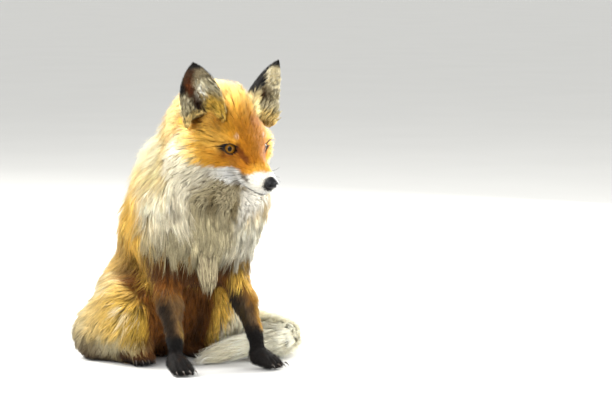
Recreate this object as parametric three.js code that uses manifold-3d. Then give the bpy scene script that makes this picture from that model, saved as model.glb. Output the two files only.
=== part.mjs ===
// A red fox sitting on its haunches, life-size, in millimetres.
// +Z is up, the fox faces -Y and its left side is +X. The solids reach out to the tips of the coat.
// The body is one smooth field of round flesh, which is meshed and then parted with thin cuts;
// the ears, tail, eyes, nose and claws are pieces of their own.
import * as THREE from "three";
import { mergeVertices } from "three/addons/utils/BufferGeometryUtils.js";
import Module from "manifold-3d";

const wasm = await Module();
wasm.setup();

// ---------------------------------------------------------------- driving sizes
const GAP = 0.4; // thin cut between neighbouring pieces
const BODY_CELL = 22.6; // mesh cell on the trunk
const HEAD_CELL = 14; // mesh cell on the head
const LIMB_CELL = 11.5; // mesh cell on the legs
const PAW_CELL = 9.1; // mesh cell on the paws
const FACE_CELL = 8.5; // mesh cell on the face
const LEFT = 1;
const RIGHT = -1;
const SIDES = { left: LEFT, right: RIGHT };

const vec = (x, y, z) => new THREE.Vector3(x, y, z);
const degrees = THREE.MathUtils.degToRad;

// The head has its own frame: origin midway between the pupils, x to the fox's left, y to the back, z up.
const HEAD_AT = vec(24, -30, 296);
const HEAD_TURN = 10; // to its left
const HEAD_NOD = 20; // nose down
const headFrame = new THREE.Matrix4()
  .makeRotationZ(degrees(HEAD_TURN))
  .multiply(new THREE.Matrix4().makeRotationX(degrees(HEAD_NOD)))
  .setPosition(HEAD_AT);
const onHead = (x, y, z) => vec(x, y, z).applyMatrix4(headFrame);

// ---------------------------------------------------------------- colours
const coat = (color, roughness = 0.95) => new THREE.MeshStandardMaterial({ color, roughness, metalness: 0 });
const material = {
  rust: coat(0xc98a4b),
  cream: coat(0xd9d0bd),
  black: coat(0x2a2624),
  brush: coat(0xcdbb9b),
  nose: coat(0x14120f, 0.35),
  eye: coat(0x5a3410, 0.1),
  claw: coat(0x3a3230, 0.5),
};

// ---------------------------------------------------------------- fields of flesh
// A field gives a point's distance to a surface, below 0 inside it.

// A limb between two joints: a round cone, stretched sideways by wide and upwards by tall.
function limb(from, to, fromRadius, toRadius, wide = 1, tall = 1) {
  const scale = vec(1 / wide, 1, 1 / tall);
  const a = from.clone().multiply(scale);
  const along = to.clone().multiply(scale).sub(a);
  const length2 = Math.max(along.lengthSq(), 1e-9);
  const thin = Math.min(1, wide, tall);
  const p = vec(0, 0, 0);
  return (x, y, z) => {
    p.set(x * scale.x - a.x, y - a.y, z * scale.z - a.z);
    const t = THREE.MathUtils.clamp(p.dot(along) / length2, 0, 1);
    const radius = fromRadius + (toRadius - fromRadius) * t;
    return (p.addScaledVector(along, -t).length() - radius) * thin;
  };
}

// An egg: an ellipsoid by its three half-widths.
function egg(at, rx, ry, rz) {
  const least = Math.min(rx, ry, rz);
  return (x, y, z) => (Math.hypot((x - at.x) / rx, (y - at.y) / ry, (z - at.z) / rz) - 1) * least;
}

// Fields that melt into one another over about the given width.
function melt(width, fields) {
  return (x, y, z) => {
    let d = Infinity;
    for (const field of fields) {
      const e = field(x, y, z);
      const h = Math.max(width - Math.abs(d - e), 0) / width;
      d = Math.min(d, e) - (Number.isFinite(d) ? (h * h * width) / 4 : 0);
    }
    return d;
  };
}

// A field with hollows pressed into it, their rims rounded over the given width.
function hollowed(width, field, hollows) {
  return (x, y, z) => {
    let d = field(x, y, z);
    for (const hollow of hollows) {
      const e = -hollow(x, y, z);
      const h = Math.max(width - Math.abs(d - e), 0) / width;
      d = Math.max(d, e) + (h * h * width) / 4;
    }
    return d;
  };
}

// A field written in the head's frame.
function inHead(field) {
  const back = headFrame.clone().invert();
  const p = vec(0, 0, 0);
  return (x, y, z) => {
    p.set(x, y, z).applyMatrix4(back);
    return field(p.x, p.y, p.z);
  };
}

const pair = (make) => [make(LEFT), make(RIGHT)];

const EYE = { out: 23, back: 5.4, up: -4.6, radius: 9.5, look: 40, opening: vec(10.5, 9, 7.5) };
const eyeAt = (side) => vec(side * EYE.out, EYE.back, EYE.up);

function skullFlesh() {
  return inHead(
    melt(16, [
      egg(vec(0, 58, 12), 38, 42, 39), // braincase
      limb(vec(0, 36, 12), vec(0, 2, -4), 34, 20), // forehead down to the stop
      ...pair((s) => egg(vec(s * 20, 8, 5), 16, 15, 12)), // brows
      ...pair((s) => limb(vec(s * 28, 22, -14), vec(s * 42, 46, -18), 19, 28)), // cheeks
      ...pair((s) => limb(vec(s * 42, 52, -22), vec(s * 62, 68, -40), 24, 10)), // cheek ruffs
      limb(vec(0, 60, -10), vec(0, 92, -6), 44, 50), // back of the head into the neck
    ]),
  );
}

function muzzleFlesh() {
  return inHead(
    melt(9, [
      limb(vec(0, 6, -12), vec(0, -56, -25), 22, 10.5, 1.04), // bridge and upper jaw
      ...pair((s) => limb(vec(s * 11, -18, -28), vec(s * 6, -54, -32), 12.5, 9)), // lips and whisker beds
      limb(vec(0, 20, -33), vec(0, -49, -43), 17, 7, 1.1), // lower jaw
    ]),
  );
}

function neckAndRuff() {
  return melt(34, [
    limb(onHead(0, 70, 2), vec(4, 92, 262), 50, 64, 1.06), // nape
    limb(onHead(0, 40, -52), vec(5, 62, 215), 32, 66, 1.26), // throat
    limb(vec(6, 66, 222), vec(1, 72, 178), 66, 52, 1.32), // ruff
    limb(vec(-1, 46, 170), vec(-3, 46, 122), 30, 10, 1.3), // the ruff's point between the legs
  ]);
}

function trunkFlesh() {
  return melt(36, [
    limb(vec(2, 100, 235), vec(0, 142, 180), 64, 64, 1.06), // withers and shoulders
    limb(vec(0, 142, 180), vec(0, 172, 110), 62, 60, 1.1), // back
    limb(vec(0, 176, 100), vec(0, 200, 51), 60, 60, 1.12), // loins and rump
    limb(vec(0, 110, 165), vec(0, 140, 70), 48, 46), // belly
  ]);
}

const FORELEG = {
  left: {
    shoulder: vec(52, 84, 176),
    elbow: vec(50, 68, 134),
    wrist: vec(60, 20, 42),
    paw: vec(66, 2, 11.5),
    turn: 22,
  },
  right: {
    shoulder: vec(-52, 84, 176),
    elbow: vec(-50, 66, 134),
    wrist: vec(-58, 16, 42),
    paw: vec(-61, -4, 11.5),
    turn: -4,
  },
};

function forelegFlesh(side) {
  const { shoulder, elbow, wrist } = FORELEG[side];
  return melt(18, [
    limb(shoulder, elbow, 36, 23), // upper arm
    limb(elbow, vec(0, 0, 0).lerpVectors(elbow, wrist, 0.5), 21, 14), // forearm's muscle
    limb(vec(0, 0, 0).lerpVectors(elbow, wrist, 0.4), wrist, 14.5, 12.5), // forearm
  ]);
}

const HINDLEG = {
  left: {
    hip: vec(30, 192, 84),
    knee: vec(60, 130, 74),
    hock: vec(58, 222, 26),
    toes: vec(34, 136, 12),
    turn: -10,
  },
  right: {
    hip: vec(-32, 192, 84),
    knee: vec(-74, 122, 70),
    hock: vec(-84, 216, 26),
    toes: vec(-66, 104, 12),
    turn: -12,
  },
};

function hindlegFlesh(side) {
  const { hip, knee, hock, toes } = HINDLEG[side];
  const out = SIDES[side];
  return melt(24, [
    limb(hip, knee, 56, 38), // thigh
    limb(knee, vec(hock.x, hock.y - 26, 37), 36, 44), // haunch down to the heel
    // coat over the shank
    limb(vec(knee.x + out * 2, knee.y + 10, 50), vec(toes.x + out * 6, toes.y + 30, 24), 30, 18),
    limb(hock, toes, 17, 13), // foot on the floor
  ]);
}

// A paw: a pad with four toes fanned over its front.
const TOES = [-1.5, -0.5, 0.5, 1.5];
const toeReach = (n) => 23 - 3.2 * Math.abs(n);
const onPaw = (at, turn, size) => (x, y, z) =>
  vec(x * size, y * size, z * size).applyAxisAngle(vec(0, 0, 1), degrees(turn)).add(at);
function pawFlesh(at, turn, size) {
  const spin = onPaw(at, turn, size);
  return melt(5, [
    limb(spin(0, 14, 5), spin(0, -4, 0), 14 * size, 12.5 * size, 1.12),
    ...TOES.map((n) => limb(spin(n * 7, -3, 1), spin(n * 8.6, -toeReach(n), -6.6), 7.6 * size, 6.4 * size)),
  ]);
}

const FORE_SIZE = 1.0;
const HIND_SIZE = 0.95;
const body = melt(12, [
  melt(26, [
    neckAndRuff(),
    skullFlesh(),
    trunkFlesh(),
    ...Object.keys(SIDES).map(hindlegFlesh),
    ...Object.keys(SIDES).map(forelegFlesh),
  ]),
  muzzleFlesh(),
  ...Object.values(FORELEG).map((leg) => pawFlesh(leg.paw, leg.turn, FORE_SIZE)),
  ...Object.values(HINDLEG).map((leg) => pawFlesh(leg.toes, leg.turn, HIND_SIZE)),
]);

// ---------------------------------------------------------------- from a field to a mesh
// Surface nets: one vertex in each cell that the surface crosses, pulled onto the surface.
function netOf(field, low, high, cell) {
  const count = high.clone().sub(low).divideScalar(cell).ceil().addScalar(1);
  const [nx, ny, nz] = count.toArray();
  const index = (i, j, k) => (k * ny + j) * nx + i;
  const value = new Float64Array(nx * ny * nz);
  // The outer layers count as outside, so that flesh that goes on past the region is closed off there.
  const isEdge = (i, j, k) => Math.min(i, j, k) < 2 || i > nx - 2 || j > ny - 2 || k > nz - 2;
  for (let k = 0; k < nz; k++)
    for (let j = 0; j < ny; j++)
      for (let i = 0; i < nx; i++)
        value[index(i, j, k)] = isEdge(i, j, k)
          ? cell
          : field(low.x + i * cell, low.y + j * cell, low.z + k * cell);

  const corners = [0, 1, 2, 3, 4, 5, 6, 7].map((c) => [c & 1, (c >> 1) & 1, (c >> 2) & 1]);
  const edges = corners.flatMap((a, m) => [1, 2, 4].filter((bit) => !(m & bit)).map((bit) => [m, m | bit]));
  const vertexOf = new Int32Array(nx * ny * nz).fill(-1);
  const points = [];
  for (let k = 0; k < nz - 1; k++)
    for (let j = 0; j < ny - 1; j++)
      for (let i = 0; i < nx - 1; i++) {
        const v = corners.map(([a, b, c]) => value[index(i + a, j + b, k + c)]);
        const sum = vec(0, 0, 0);
        let crossings = 0;
        for (const [m, n] of edges)
          if (v[m] < 0 !== v[n] < 0) {
            const t = v[m] / (v[m] - v[n]);
            sum.add(vec(...corners[m]).lerp(vec(...corners[n]), t));
            crossings++;
          }
        if (!crossings) continue;
        const at = sum.divideScalar(crossings).add(vec(i, j, k)).multiplyScalar(cell).add(low);
        vertexOf[index(i, j, k)] = points.length;
        points.push(onto(field, at, cell));
      }

  const triangles = [];
  const quad = (a, b, c, d, flip) => triangles.push(...(flip ? [a, c, b, a, d, c] : [a, b, c, a, c, d]));
  for (let k = 1; k < nz - 1; k++)
    for (let j = 1; j < ny - 1; j++)
      for (let i = 1; i < nx - 1; i++) {
        const here = value[index(i, j, k)] < 0;
        const cellAt = (a, b, c) => vertexOf[index(i - a, j - b, k - c)];
        if (here !== value[index(i + 1, j, k)] < 0)
          quad(cellAt(0, 0, 0), cellAt(0, 1, 0), cellAt(0, 1, 1), cellAt(0, 0, 1), !here);
        if (here !== value[index(i, j + 1, k)] < 0)
          quad(cellAt(0, 0, 0), cellAt(0, 0, 1), cellAt(1, 0, 1), cellAt(1, 0, 0), !here);
        if (here !== value[index(i, j, k + 1)] < 0)
          quad(cellAt(0, 0, 0), cellAt(1, 0, 0), cellAt(1, 1, 0), cellAt(0, 1, 0), !here);
      }
  return { points, triangles };
}

// The field's slope at a point, which looks away from the flesh.
function slopeOf(field, { x, y, z }) {
  const step = 0.5;
  return vec(
    field(x + step, y, z) - field(x - step, y, z),
    field(x, y + step, z) - field(x, y - step, z),
    field(x, y, z + step) - field(x, y, z - step),
  ).divideScalar(2 * step);
}

// A point moved down the field's slope to where the field is 0, by less than half a cell.
function onto(field, point, cell) {
  const start = point.clone();
  for (let n = 0; n < 3; n++) {
    const slope = slopeOf(field, point);
    point.addScaledVector(slope, -field(...point) / Math.max(slope.lengthSq(), 0.05));
  }
  const moved = point.clone().sub(start).clampLength(0, cell * 0.45);
  return start.add(moved);
}

// ---------------------------------------------------------------- solids
function geometryOf(points, triangles) {
  const flat = new Float32Array(points.flatMap((p) => p.toArray()));
  const geometry = new THREE.BufferGeometry();
  geometry.setAttribute("position", new THREE.BufferAttribute(flat, 3));
  return geometry.setIndex(triangles);
}

function solidOf(geometry) {
  const bare = geometry.clone();
  for (const name of Object.keys(bare.attributes)) if (name !== "position") bare.deleteAttribute(name);
  const merged = mergeVertices(bare, 1e-3);
  return new wasm.Manifold(
    new wasm.Mesh({
      numProp: 3,
      vertProperties: merged.attributes.position.array,
      triVerts: new Uint32Array(merged.index.array),
    }),
  );
}

function geometryFrom(solid) {
  const made = solid.getMesh();
  return new THREE.BufferGeometry()
    .setAttribute("position", new THREE.BufferAttribute(new Float32Array(made.vertProperties), 3))
    .setIndex(new THREE.BufferAttribute(new Uint32Array(made.triVerts), 1));
}

// The solid of a field, whose skin can be moved out by a little.
function meshed(field, [low, high], cell, grow = 0) {
  const { points, triangles } = netOf(field, low, high, cell);
  if (grow) for (const point of points) point.addScaledVector(slopeOf(field, point).normalize(), grow);
  return solidOf(geometryOf(points, triangles));
}

// A cutting block with its middle at a point, turned to look along a direction (its own +Z).
function block(at, size, along = vec(0, 0, 1), grow = 0) {
  const box = new THREE.BoxGeometry(size.x + 2 * grow, size.y + 2 * grow, size.z + 2 * grow);
  const turn = new THREE.Quaternion().setFromUnitVectors(vec(0, 0, 1), along.clone().normalize());
  const placed = new THREE.Matrix4().compose(at, turn, vec(1, 1, 1));
  return solidOf(box.applyMatrix4(placed));
}

// A skin over rings of points that pair up across it, closed by a strip of faces at either end.
function lofted(rings) {
  const points = rings.flat();
  const around = rings[0].length;
  const triangles = [];
  const quad = (a, b, c, d) => triangles.push(a, b, c, a, c, d);
  for (let r = 0; r + 1 < rings.length; r++)
    for (let n = 0; n < around; n++) {
      const next = (n + 1) % around;
      quad(r * around + n, r * around + next, (r + 1) * around + next, (r + 1) * around + n);
    }
  const last = (rings.length - 1) * around;
  for (let n = 0; n + 1 < around / 2; n++) {
    quad(around - 1 - n, around - 2 - n, n + 1, n);
    quad(last + n, last + n + 1, last + around - 2 - n, last + around - 1 - n);
  }
  const made = solidOf(geometryOf(points, triangles));
  // rings may run either way
  return made.volume() > 0 ? made : solidOf(geometryOf(points, triangles.reverse()));
}

const steps = (count) => Array.from({ length: count + 1 }, (_, n) => n / count);

// ---------------------------------------------------------------- ears
// Each ear is a scoop. Its opening faces forwards and outwards by its own turn.
const EAR = {
  base: vec(36, 49, 14),
  tip: vec(68, 59, 93),
  halfWidth: 29,
  cup: 26,
  thick: 3.6,
  room: 16,
  turn: { left: 20, right: 39 },
};

// The wall of an ear, or all the room that it and its opening take up in the head.
function earSolid(side, isRoom) {
  const s = SIDES[side];
  const base = vec(s * EAR.base.x, EAR.base.y, EAR.base.z);
  const tip = vec(s * EAR.tip.x, EAR.tip.y, EAR.tip.z);
  const axis = tip.clone().sub(base).normalize();
  const turn = degrees(EAR.turn[side]);
  const facing = vec(s * Math.sin(turn), -Math.cos(turn), 0.2).projectOnPlane(axis).normalize();
  const across = facing.clone().cross(axis);
  const spread = steps(8).map((n) => 2 * n - 1);

  const rings = steps(8).map((t) => {
    const up = 1 - (1 - t) ** 1.35; // closer rings near the tip
    const taper = Math.max(up - 0.3, 0) / 0.7;
    const narrow = 0.92 + 0.08 * Math.min(up / 0.3, 1);
    const width = EAR.halfWidth * Math.max(1 - taper ** 1.8, 0.004) ** 0.75 * narrow;
    const cup = EAR.cup * (1 - up) ** 0.75 + 2;
    const open = degrees(118 - 40 * up);
    const rim = Math.min(EAR.thick, width * 0.8);
    const centre = base.clone().lerp(tip, up).addScaledVector(axis, isRoom && up === 0 ? -GAP : 0);
    const at = (n, inset) =>
      centre
        .clone()
        .addScaledVector(across, (width - inset) * Math.sin(open * n))
        .addScaledVector(facing, cup * 0.25 - (cup - inset) * Math.cos(open * n));
    const inside = (n) => at(n * 0.97, rim * (1 - 0.7 * Math.abs(n) ** 6)); // the wall thins to its rim
    const inFront = (n) => at(n, -GAP).addScaledVector(facing, (cup + GAP) * Math.cos(open * n) + EAR.room);
    const back = spread.map((n) => at(n, isRoom ? -GAP : 0));
    const front = spread.map((n) => (isRoom ? inFront(n) : inside(n))).reverse();
    return [...back, ...front];
  });
  return lofted(rings.map((ring) => ring.map((p) => p.applyMatrix4(headFrame))));
}

// ---------------------------------------------------------------- tail
// The brush leaves the rump, lies round the left haunch and ends between the paws.
const TAIL_ROUTE = new THREE.CatmullRomCurve3([
  vec(16, 244, 44),
  vec(44, 262, 37),
  vec(88, 262, 32),
  vec(128, 226, 28),
  vec(146, 172, 26),
  vec(143, 117, 26),
  vec(114, 82, 25),
  vec(68, 75, 21),
  vec(30, 74, 13),
  vec(6, 72, 6),
]);
const TAIL_SIDES = 12;
const TAIL_STEPS = 24;
const TAIL_CUTS = [0, 0.36, 0.7, 1];
const TAIL_NAMES = ["tail_root", "tail_middle", "tail_tip"];

// The brush's half-thickness along its length: a narrow root, a full middle, a pointed tip.
const BRUSH_WIDEST = 34;
const brush = (t) => {
  const middle = 0.62 + 0.38 * Math.sin(Math.PI * Math.min(t * 1.25, 1) ** 0.8);
  return BRUSH_WIDEST * middle * (1 - t ** 5) ** 0.6 + 2;
};

function tailLength(from, to) {
  const count = Math.round((to - from) * TAIL_STEPS);
  const rings = steps(count).map((n) => {
    const t = from + (to - from) * n;
    const at = TAIL_ROUTE.getPointAt(t);
    const along = TAIL_ROUTE.getTangentAt(t);
    const side = along.clone().cross(vec(0, 0, 1)).normalize();
    const up = side.clone().cross(along);
    const wide = brush(t) * 1.08;
    const tall = Math.min(brush(t) * 0.95, at.z * 1.04);
    return steps(TAIL_SIDES)
      .slice(1)
      .map((a) => (a - 0.5 / TAIL_SIDES) * 2 * Math.PI)
      .map((a) => {
        const across = at.clone().addScaledVector(side, wide * Math.cos(a));
        return across.addScaledVector(up, tall * Math.sin(a));
      });
  });
  return lofted(rings);
}

// ---------------------------------------------------------------- claws
const CLAW_SIDES = 5;
function clawSolid(spin, n) {
  const route = new THREE.QuadraticBezierCurve3(
    spin(n * 8.6, -toeReach(n) - 1, -3.6),
    spin(n * 9.0, -toeReach(n) - 9, -3.2),
    spin(n * 9.3, -toeReach(n) - 13, -9.4),
  );
  const rings = steps(2).map((t) => {
    const at = route.getPointAt(t);
    const along = route.getTangentAt(t);
    const side = along.clone().cross(vec(0, 0, 1)).normalize();
    const up = side.clone().cross(along);
    const radius = 2.3 - 1.9 * t;
    return steps(CLAW_SIDES)
      .slice(1)
      .map((a) => (a - 0.5 / CLAW_SIDES) * 2 * Math.PI)
      .map((a) => {
        const across = at.clone().addScaledVector(side, radius * 0.75 * Math.cos(a));
        return across.addScaledVector(up, radius * Math.sin(a));
      });
  });
  return lofted(rings);
}

// ---------------------------------------------------------------- nose
const nose = inHead(
  hollowed(
    1.5,
    melt(4, [
      egg(vec(0, -64.5, -24), 8.6, 8.2, 7.4),
      ...pair((s) => egg(vec(s * 5, -65.5, -25), 4.6, 6, 5)), // wings of the nostrils
    ]),
    pair((s) => limb(vec(s * 4, -76.5, -24.5), vec(s * 5, -67.5, -25), 2.3, 1.8)),
  ),
);

// ---------------------------------------------------------------- the pieces
const FLOOR_DEPTH = 60;
const floor = block(vec(0, 100, -FLOOR_DEPTH / 2), vec(1000, 1000, FLOOR_DEPTH));

const ALL = [vec(-150, -120, -60), vec(150, 300, 400)];
const HEAD = [vec(-90, -130, 140), vec(130, 190, 400)];
const LEGS = [vec(-120, -60, -40), vec(130, 260, 150)];

// Everything on one side of a plane through a point.
const SIDE = 500;
const beyond = (at, normal) => (grow) =>
  block(at.clone().addScaledVector(normal, SIDE / 2), vec(SIDE, SIDE, SIDE), normal, grow);
// A block from its lowest to its highest corner.
const span = (low, high) => (grow) =>
  block(low.clone().add(high).multiplyScalar(0.5), high.clone().sub(low), vec(0, 0, 1), grow);
// An egg-shaped region.
const eggRegion = (at, size) => (grow) => {
  const ball = new THREE.SphereGeometry(1, 20, 14).scale(size.x + grow, size.y + grow, size.z + grow);
  return solidOf(ball.translate(...at));
};
const both = (a, b) => (grow) => a(grow).intersect(b(grow));

const regions = {
  face: beyond(onHead(0, 15, 0), vec(0, -1, 0).transformDirection(headFrame)),
  head: beyond(onHead(0, 38, -62), vec(0, -0.6, 0.8).transformDirection(headFrame)),
  neck: beyond(vec(0, 20, 180), vec(0, -0.447, 0.894)),
  foreleg: (side) =>
    both(
      span(vec(side > 0 ? 26 : -130, -80, -10), vec(side > 0 ? 130 : -26, 200, 112)),
      beyond(vec(0, 60, 60), vec(0, -0.89, 0.46)),
    ),
  forepaw: () => span(vec(-200, -200, -10), vec(200, 200, 32)),
  hindfoot: ({ x, y }) => span(vec(x - 31, y - 42, -10), vec(x + 31, y + 25, 25)),
  haunch: (side) => eggRegion(vec(side * 92, 172, 58), vec(64, 102, 74)),
};

const biggest = (solid) => solid.decompose().sort((a, b) => b.volume() - a.volume())[0];
const group = new THREE.Group();
function add(name, solid, finish) {
  const mesh = new THREE.Mesh(geometryFrom(biggest(solid)), finish);
  mesh.name = name;
  group.add(mesh);
}

// What the attached pieces stay clear of.
const clear = {
  face: meshed(body, HEAD, FACE_CELL, GAP),
  legs: meshed(body, LEGS, PAW_CELL, GAP),
  body: meshed(body, ALL, BODY_CELL, GAP),
};
const eyeBall = (side, radius) => {
  const ball = new THREE.SphereGeometry(radius, 12, 8).translate(...eyeAt(side));
  return solidOf(ball.applyMatrix4(headFrame));
};
// The gap between the lids, an egg that stands out from the eyeball along its look.
const lidGap = (side) => {
  const { x, y, z } = EYE.opening;
  const shape = new THREE.SphereGeometry(1, 12, 8).scale(x, y, z).translate(0, -EYE.radius, 0);
  return solidOf(shape.rotateZ(side * degrees(EYE.look)).translate(...eyeAt(side)).applyMatrix4(headFrame));
};
const rooms = Object.entries(SIDES).flatMap(([side, s]) => [
  eyeBall(s, EYE.radius + GAP),
  lidGap(s),
  earSolid(side, true),
]);
const withRooms = (solid) => rooms.reduce((left, room) => left.subtract(room), solid);

let rest = meshed(body, ALL, BODY_CELL).subtract(floor);
const legs = meshed(body, LEGS, LIMB_CELL).subtract(floor);
const paws = meshed(body, LEGS, PAW_CELL).subtract(floor);

// The head comes off in front of the neck cut, and the face in front of the ears.
const headSolid = meshed(body, HEAD, HEAD_CELL).intersect(regions.head(0));
const faceSolid = meshed(body, HEAD, FACE_CELL).intersect(regions.head(0)).intersect(regions.face(0));
add("head", withRooms(headSolid.subtract(regions.face(GAP))), material.rust);
add("face", withRooms(faceSolid), material.rust);
rest = rest.subtract(regions.head(GAP));
add("neck", withRooms(rest.intersect(regions.neck(0))), material.cream);
rest = rest.subtract(regions.neck(GAP));
add("nose", meshed(nose, [vec(-60, -180, 180), vec(110, 0, 340)], 2.8).subtract(clear.face), material.nose);

for (const [side, s] of Object.entries(SIDES)) {
  add(`eye_${side}`, eyeBall(s, EYE.radius), material.eye);
  add(`ear_${side}`, earSolid(side, false), material.black);

  const foreleg = regions.foreleg(s);
  add(`foreleg_${side}`, legs.intersect(foreleg(0)).subtract(regions.forepaw()(GAP)), material.black);
  add(`forepaw_${side}`, paws.intersect(foreleg(0)).intersect(regions.forepaw()(0)), material.black);
  rest = rest.subtract(foreleg(GAP));

  const hindfoot = regions.hindfoot(HINDLEG[side].toes);
  add(`hindfoot_${side}`, paws.intersect(hindfoot(0)), material.black);
  rest = rest.subtract(hindfoot(GAP));
  const haunch = regions.haunch(s);
  add(`haunch_${side}`, rest.intersect(haunch(0)), material.rust);
  rest = rest.subtract(haunch(GAP));

  const feet = {
    fore: onPaw(FORELEG[side].paw, FORELEG[side].turn, FORE_SIZE),
    hind: onPaw(HINDLEG[side].toes, HINDLEG[side].turn, HIND_SIZE),
  };
  for (const [end, spin] of Object.entries(feet))
    TOES.forEach((n, toe) => {
      const claw = clawSolid(spin, n).subtract(clear.legs);
      add(`claw_${end}_${side}_${toe + 1}`, claw, material.claw);
    });
}
add("trunk", rest, material.rust);

TAIL_NAMES.forEach((name, n) => {
  const start = n ? TAIL_CUTS[n] + GAP / TAIL_ROUTE.getLength() : 0;
  const length = tailLength(start, TAIL_CUTS[n + 1]).subtract(floor).subtract(clear.body);
  add(name, n ? length.subtract(clear.legs) : length, material.brush);
});

// The model's origin is the middle of its underside.
const bounds = new THREE.Box3().setFromObject(group);
const middle = bounds.getCenter(vec(0, 0, 0));
group.position.set(-middle.x, -middle.y, -bounds.min.z);

export default group;
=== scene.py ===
# %% [markdown]
# # A red fox, sitting
#
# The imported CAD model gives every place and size. Its solids reach out to the tips of the coat, so the
# looks are made from the outside in: first a skin that lies under those solids by the depth of the fur,
# then thousands of small locks of hair that grow from the skin and end at the solids' surface.
# Everything is in metres, with +Z up, the fox facing -Y and its left side at +X.

# %% Load the frame
import math

import bmesh
import bpy
import numpy as np
import openvdb as vdb
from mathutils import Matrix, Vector, kdtree


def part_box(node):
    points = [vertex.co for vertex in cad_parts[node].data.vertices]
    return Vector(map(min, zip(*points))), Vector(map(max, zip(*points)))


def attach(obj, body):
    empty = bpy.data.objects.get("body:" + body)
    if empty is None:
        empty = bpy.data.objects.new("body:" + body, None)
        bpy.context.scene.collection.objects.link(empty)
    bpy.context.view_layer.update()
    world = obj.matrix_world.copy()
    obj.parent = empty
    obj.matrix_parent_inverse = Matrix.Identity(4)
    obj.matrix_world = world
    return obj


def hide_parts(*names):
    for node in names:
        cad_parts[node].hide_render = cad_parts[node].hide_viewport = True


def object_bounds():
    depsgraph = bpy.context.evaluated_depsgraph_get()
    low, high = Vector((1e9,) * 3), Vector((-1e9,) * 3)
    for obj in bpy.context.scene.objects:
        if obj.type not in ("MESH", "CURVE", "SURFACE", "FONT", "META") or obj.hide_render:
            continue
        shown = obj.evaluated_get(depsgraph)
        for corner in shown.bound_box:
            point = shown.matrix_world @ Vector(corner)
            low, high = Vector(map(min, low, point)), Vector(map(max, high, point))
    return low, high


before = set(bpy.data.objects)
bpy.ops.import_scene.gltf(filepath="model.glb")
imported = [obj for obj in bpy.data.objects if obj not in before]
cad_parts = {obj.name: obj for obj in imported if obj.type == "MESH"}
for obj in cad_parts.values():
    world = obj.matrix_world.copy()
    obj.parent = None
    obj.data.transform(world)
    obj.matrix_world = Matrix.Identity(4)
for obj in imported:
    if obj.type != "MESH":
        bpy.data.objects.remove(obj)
cad_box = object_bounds()
MM = 0.001
RNG = np.random.default_rng(11)
LEFT, RIGHT = 1, -1
SIDES = {"left": LEFT, "right": RIGHT}
print("nodes", len(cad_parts), "box", [round(v, 3) for corner in cad_box for v in corner])

# %% [markdown]
# ## Places on the animal
#
# A body has no straight edges to measure from, so places are named in two ways. `spot` gives a place by
# its share of a node's box, which suits the trunk and limbs. The head is turned and nodded, so it gets
# axes of its own, along the line from the eyes to the nose. Their origin is between the brows, and
# `on_head` gives a place there in millimetres: out to the fox's left, ahead towards the nose, and up.

# %% Named places
def unit(v):
    """Vectors at length 1."""
    v = np.asarray(v, float)
    return v / np.maximum(np.linalg.norm(v, axis=-1, keepdims=True), 1e-12)


def spot(node, x, y, z):
    """A place by its share of the way across a node's box, from its lowest to its highest corner."""
    low, high = (np.array(corner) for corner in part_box(node))
    return low + (high - low) * (x, y, z)


EYES = {name: spot(f"eye_{name}", 0.5, 0.5, 0.5) for name in SIDES}
EYE_RADIUS = (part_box("eye_left")[1].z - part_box("eye_left")[0].z) / 2
NOSE = spot("nose", 0.5, 0.5, 0.5)
EYES_AHEAD, EYES_BELOW = 5.9 * MM, 2.2 * MM  # from the head's origin to the middle between the eyes
between = (EYES["left"] + EYES["right"]) / 2
OUT = unit(EYES["left"] - EYES["right"])
AHEAD = unit(NOSE - between - OUT * np.dot(NOSE - between, OUT))
UP = np.cross(AHEAD, OUT)
HEAD = between - AHEAD * EYES_AHEAD + UP * EYES_BELOW
HEAD_AXES = np.array([OUT, AHEAD, UP])


def on_head(out, ahead, up):
    """A place on the head, in millimetres from its origin between the brows."""
    return HEAD + np.array([out, ahead, up]) @ HEAD_AXES * MM


def along_head(out, ahead, up):
    """A direction by the head's own axes."""
    return np.array([out, ahead, up]) @ HEAD_AXES


def in_head(points):
    """Points of the frame as out, ahead and up in millimetres."""
    return (points - HEAD) @ HEAD_AXES.T / MM


GAZE = {name: unit(along_head(0.62 * side, 0.7, 0.44)) for name, side in SIDES.items()}
print("brow to nose", round(float(np.linalg.norm(NOSE - HEAD)) / MM), "mm")
print("eye radius", round(EYE_RADIUS / MM, 1), "mm")

# %% [markdown]
# ## Camera, lights and floor
#
# The fox is seen from its right front, a little above its eyes' height, from far enough away that a long
# lens flattens it. Lights could be hard and small, but fur then sparkles and breaks up, so these are wide
# and soft: one behind and above the back, as open sky would be, so that the ruff and the back glow at their
# edges, and paler ones that fill the front. The floor and the world are plain.

# %% Camera
CAMERA_AZIMUTH, CAMERA_HEIGHT = math.radians(-27), math.radians(5)
CAMERA_DISTANCE = 4.0
AIM_RIGHT, AIM_UP = 0.107, 0.2185  # from the middle of the forepaws to what the camera looks at
FIELD_WIDTH = 0.7956  # of what the camera sees, at the fox
SENSOR = 36.0

back = Vector((
    math.sin(CAMERA_AZIMUTH) * math.cos(CAMERA_HEIGHT),
    -math.cos(CAMERA_AZIMUTH) * math.cos(CAMERA_HEIGHT),
    math.sin(CAMERA_HEIGHT),
))
to_right = back.cross(Vector((0, 0, 1))).normalized() * -1
forepaws = Vector((spot("forepaw_left", 0.5, 0.5, 0) + spot("forepaw_right", 0.5, 0.5, 0)) / 2)
aim = forepaws + to_right * AIM_RIGHT + to_right.cross(-back) * AIM_UP
camera_data = bpy.data.cameras.new("camera")
camera_data.sensor_width = SENSOR
camera_data.lens = SENSOR * CAMERA_DISTANCE / FIELD_WIDTH
camera = bpy.data.objects.new("camera", camera_data)
camera.location = aim + back * CAMERA_DISTANCE
camera.rotation_mode = "QUATERNION"
camera.rotation_quaternion = (-back).to_track_quat("-Z", "Y")
bpy.context.collection.objects.link(camera)
bpy.context.scene.camera = camera
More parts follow.
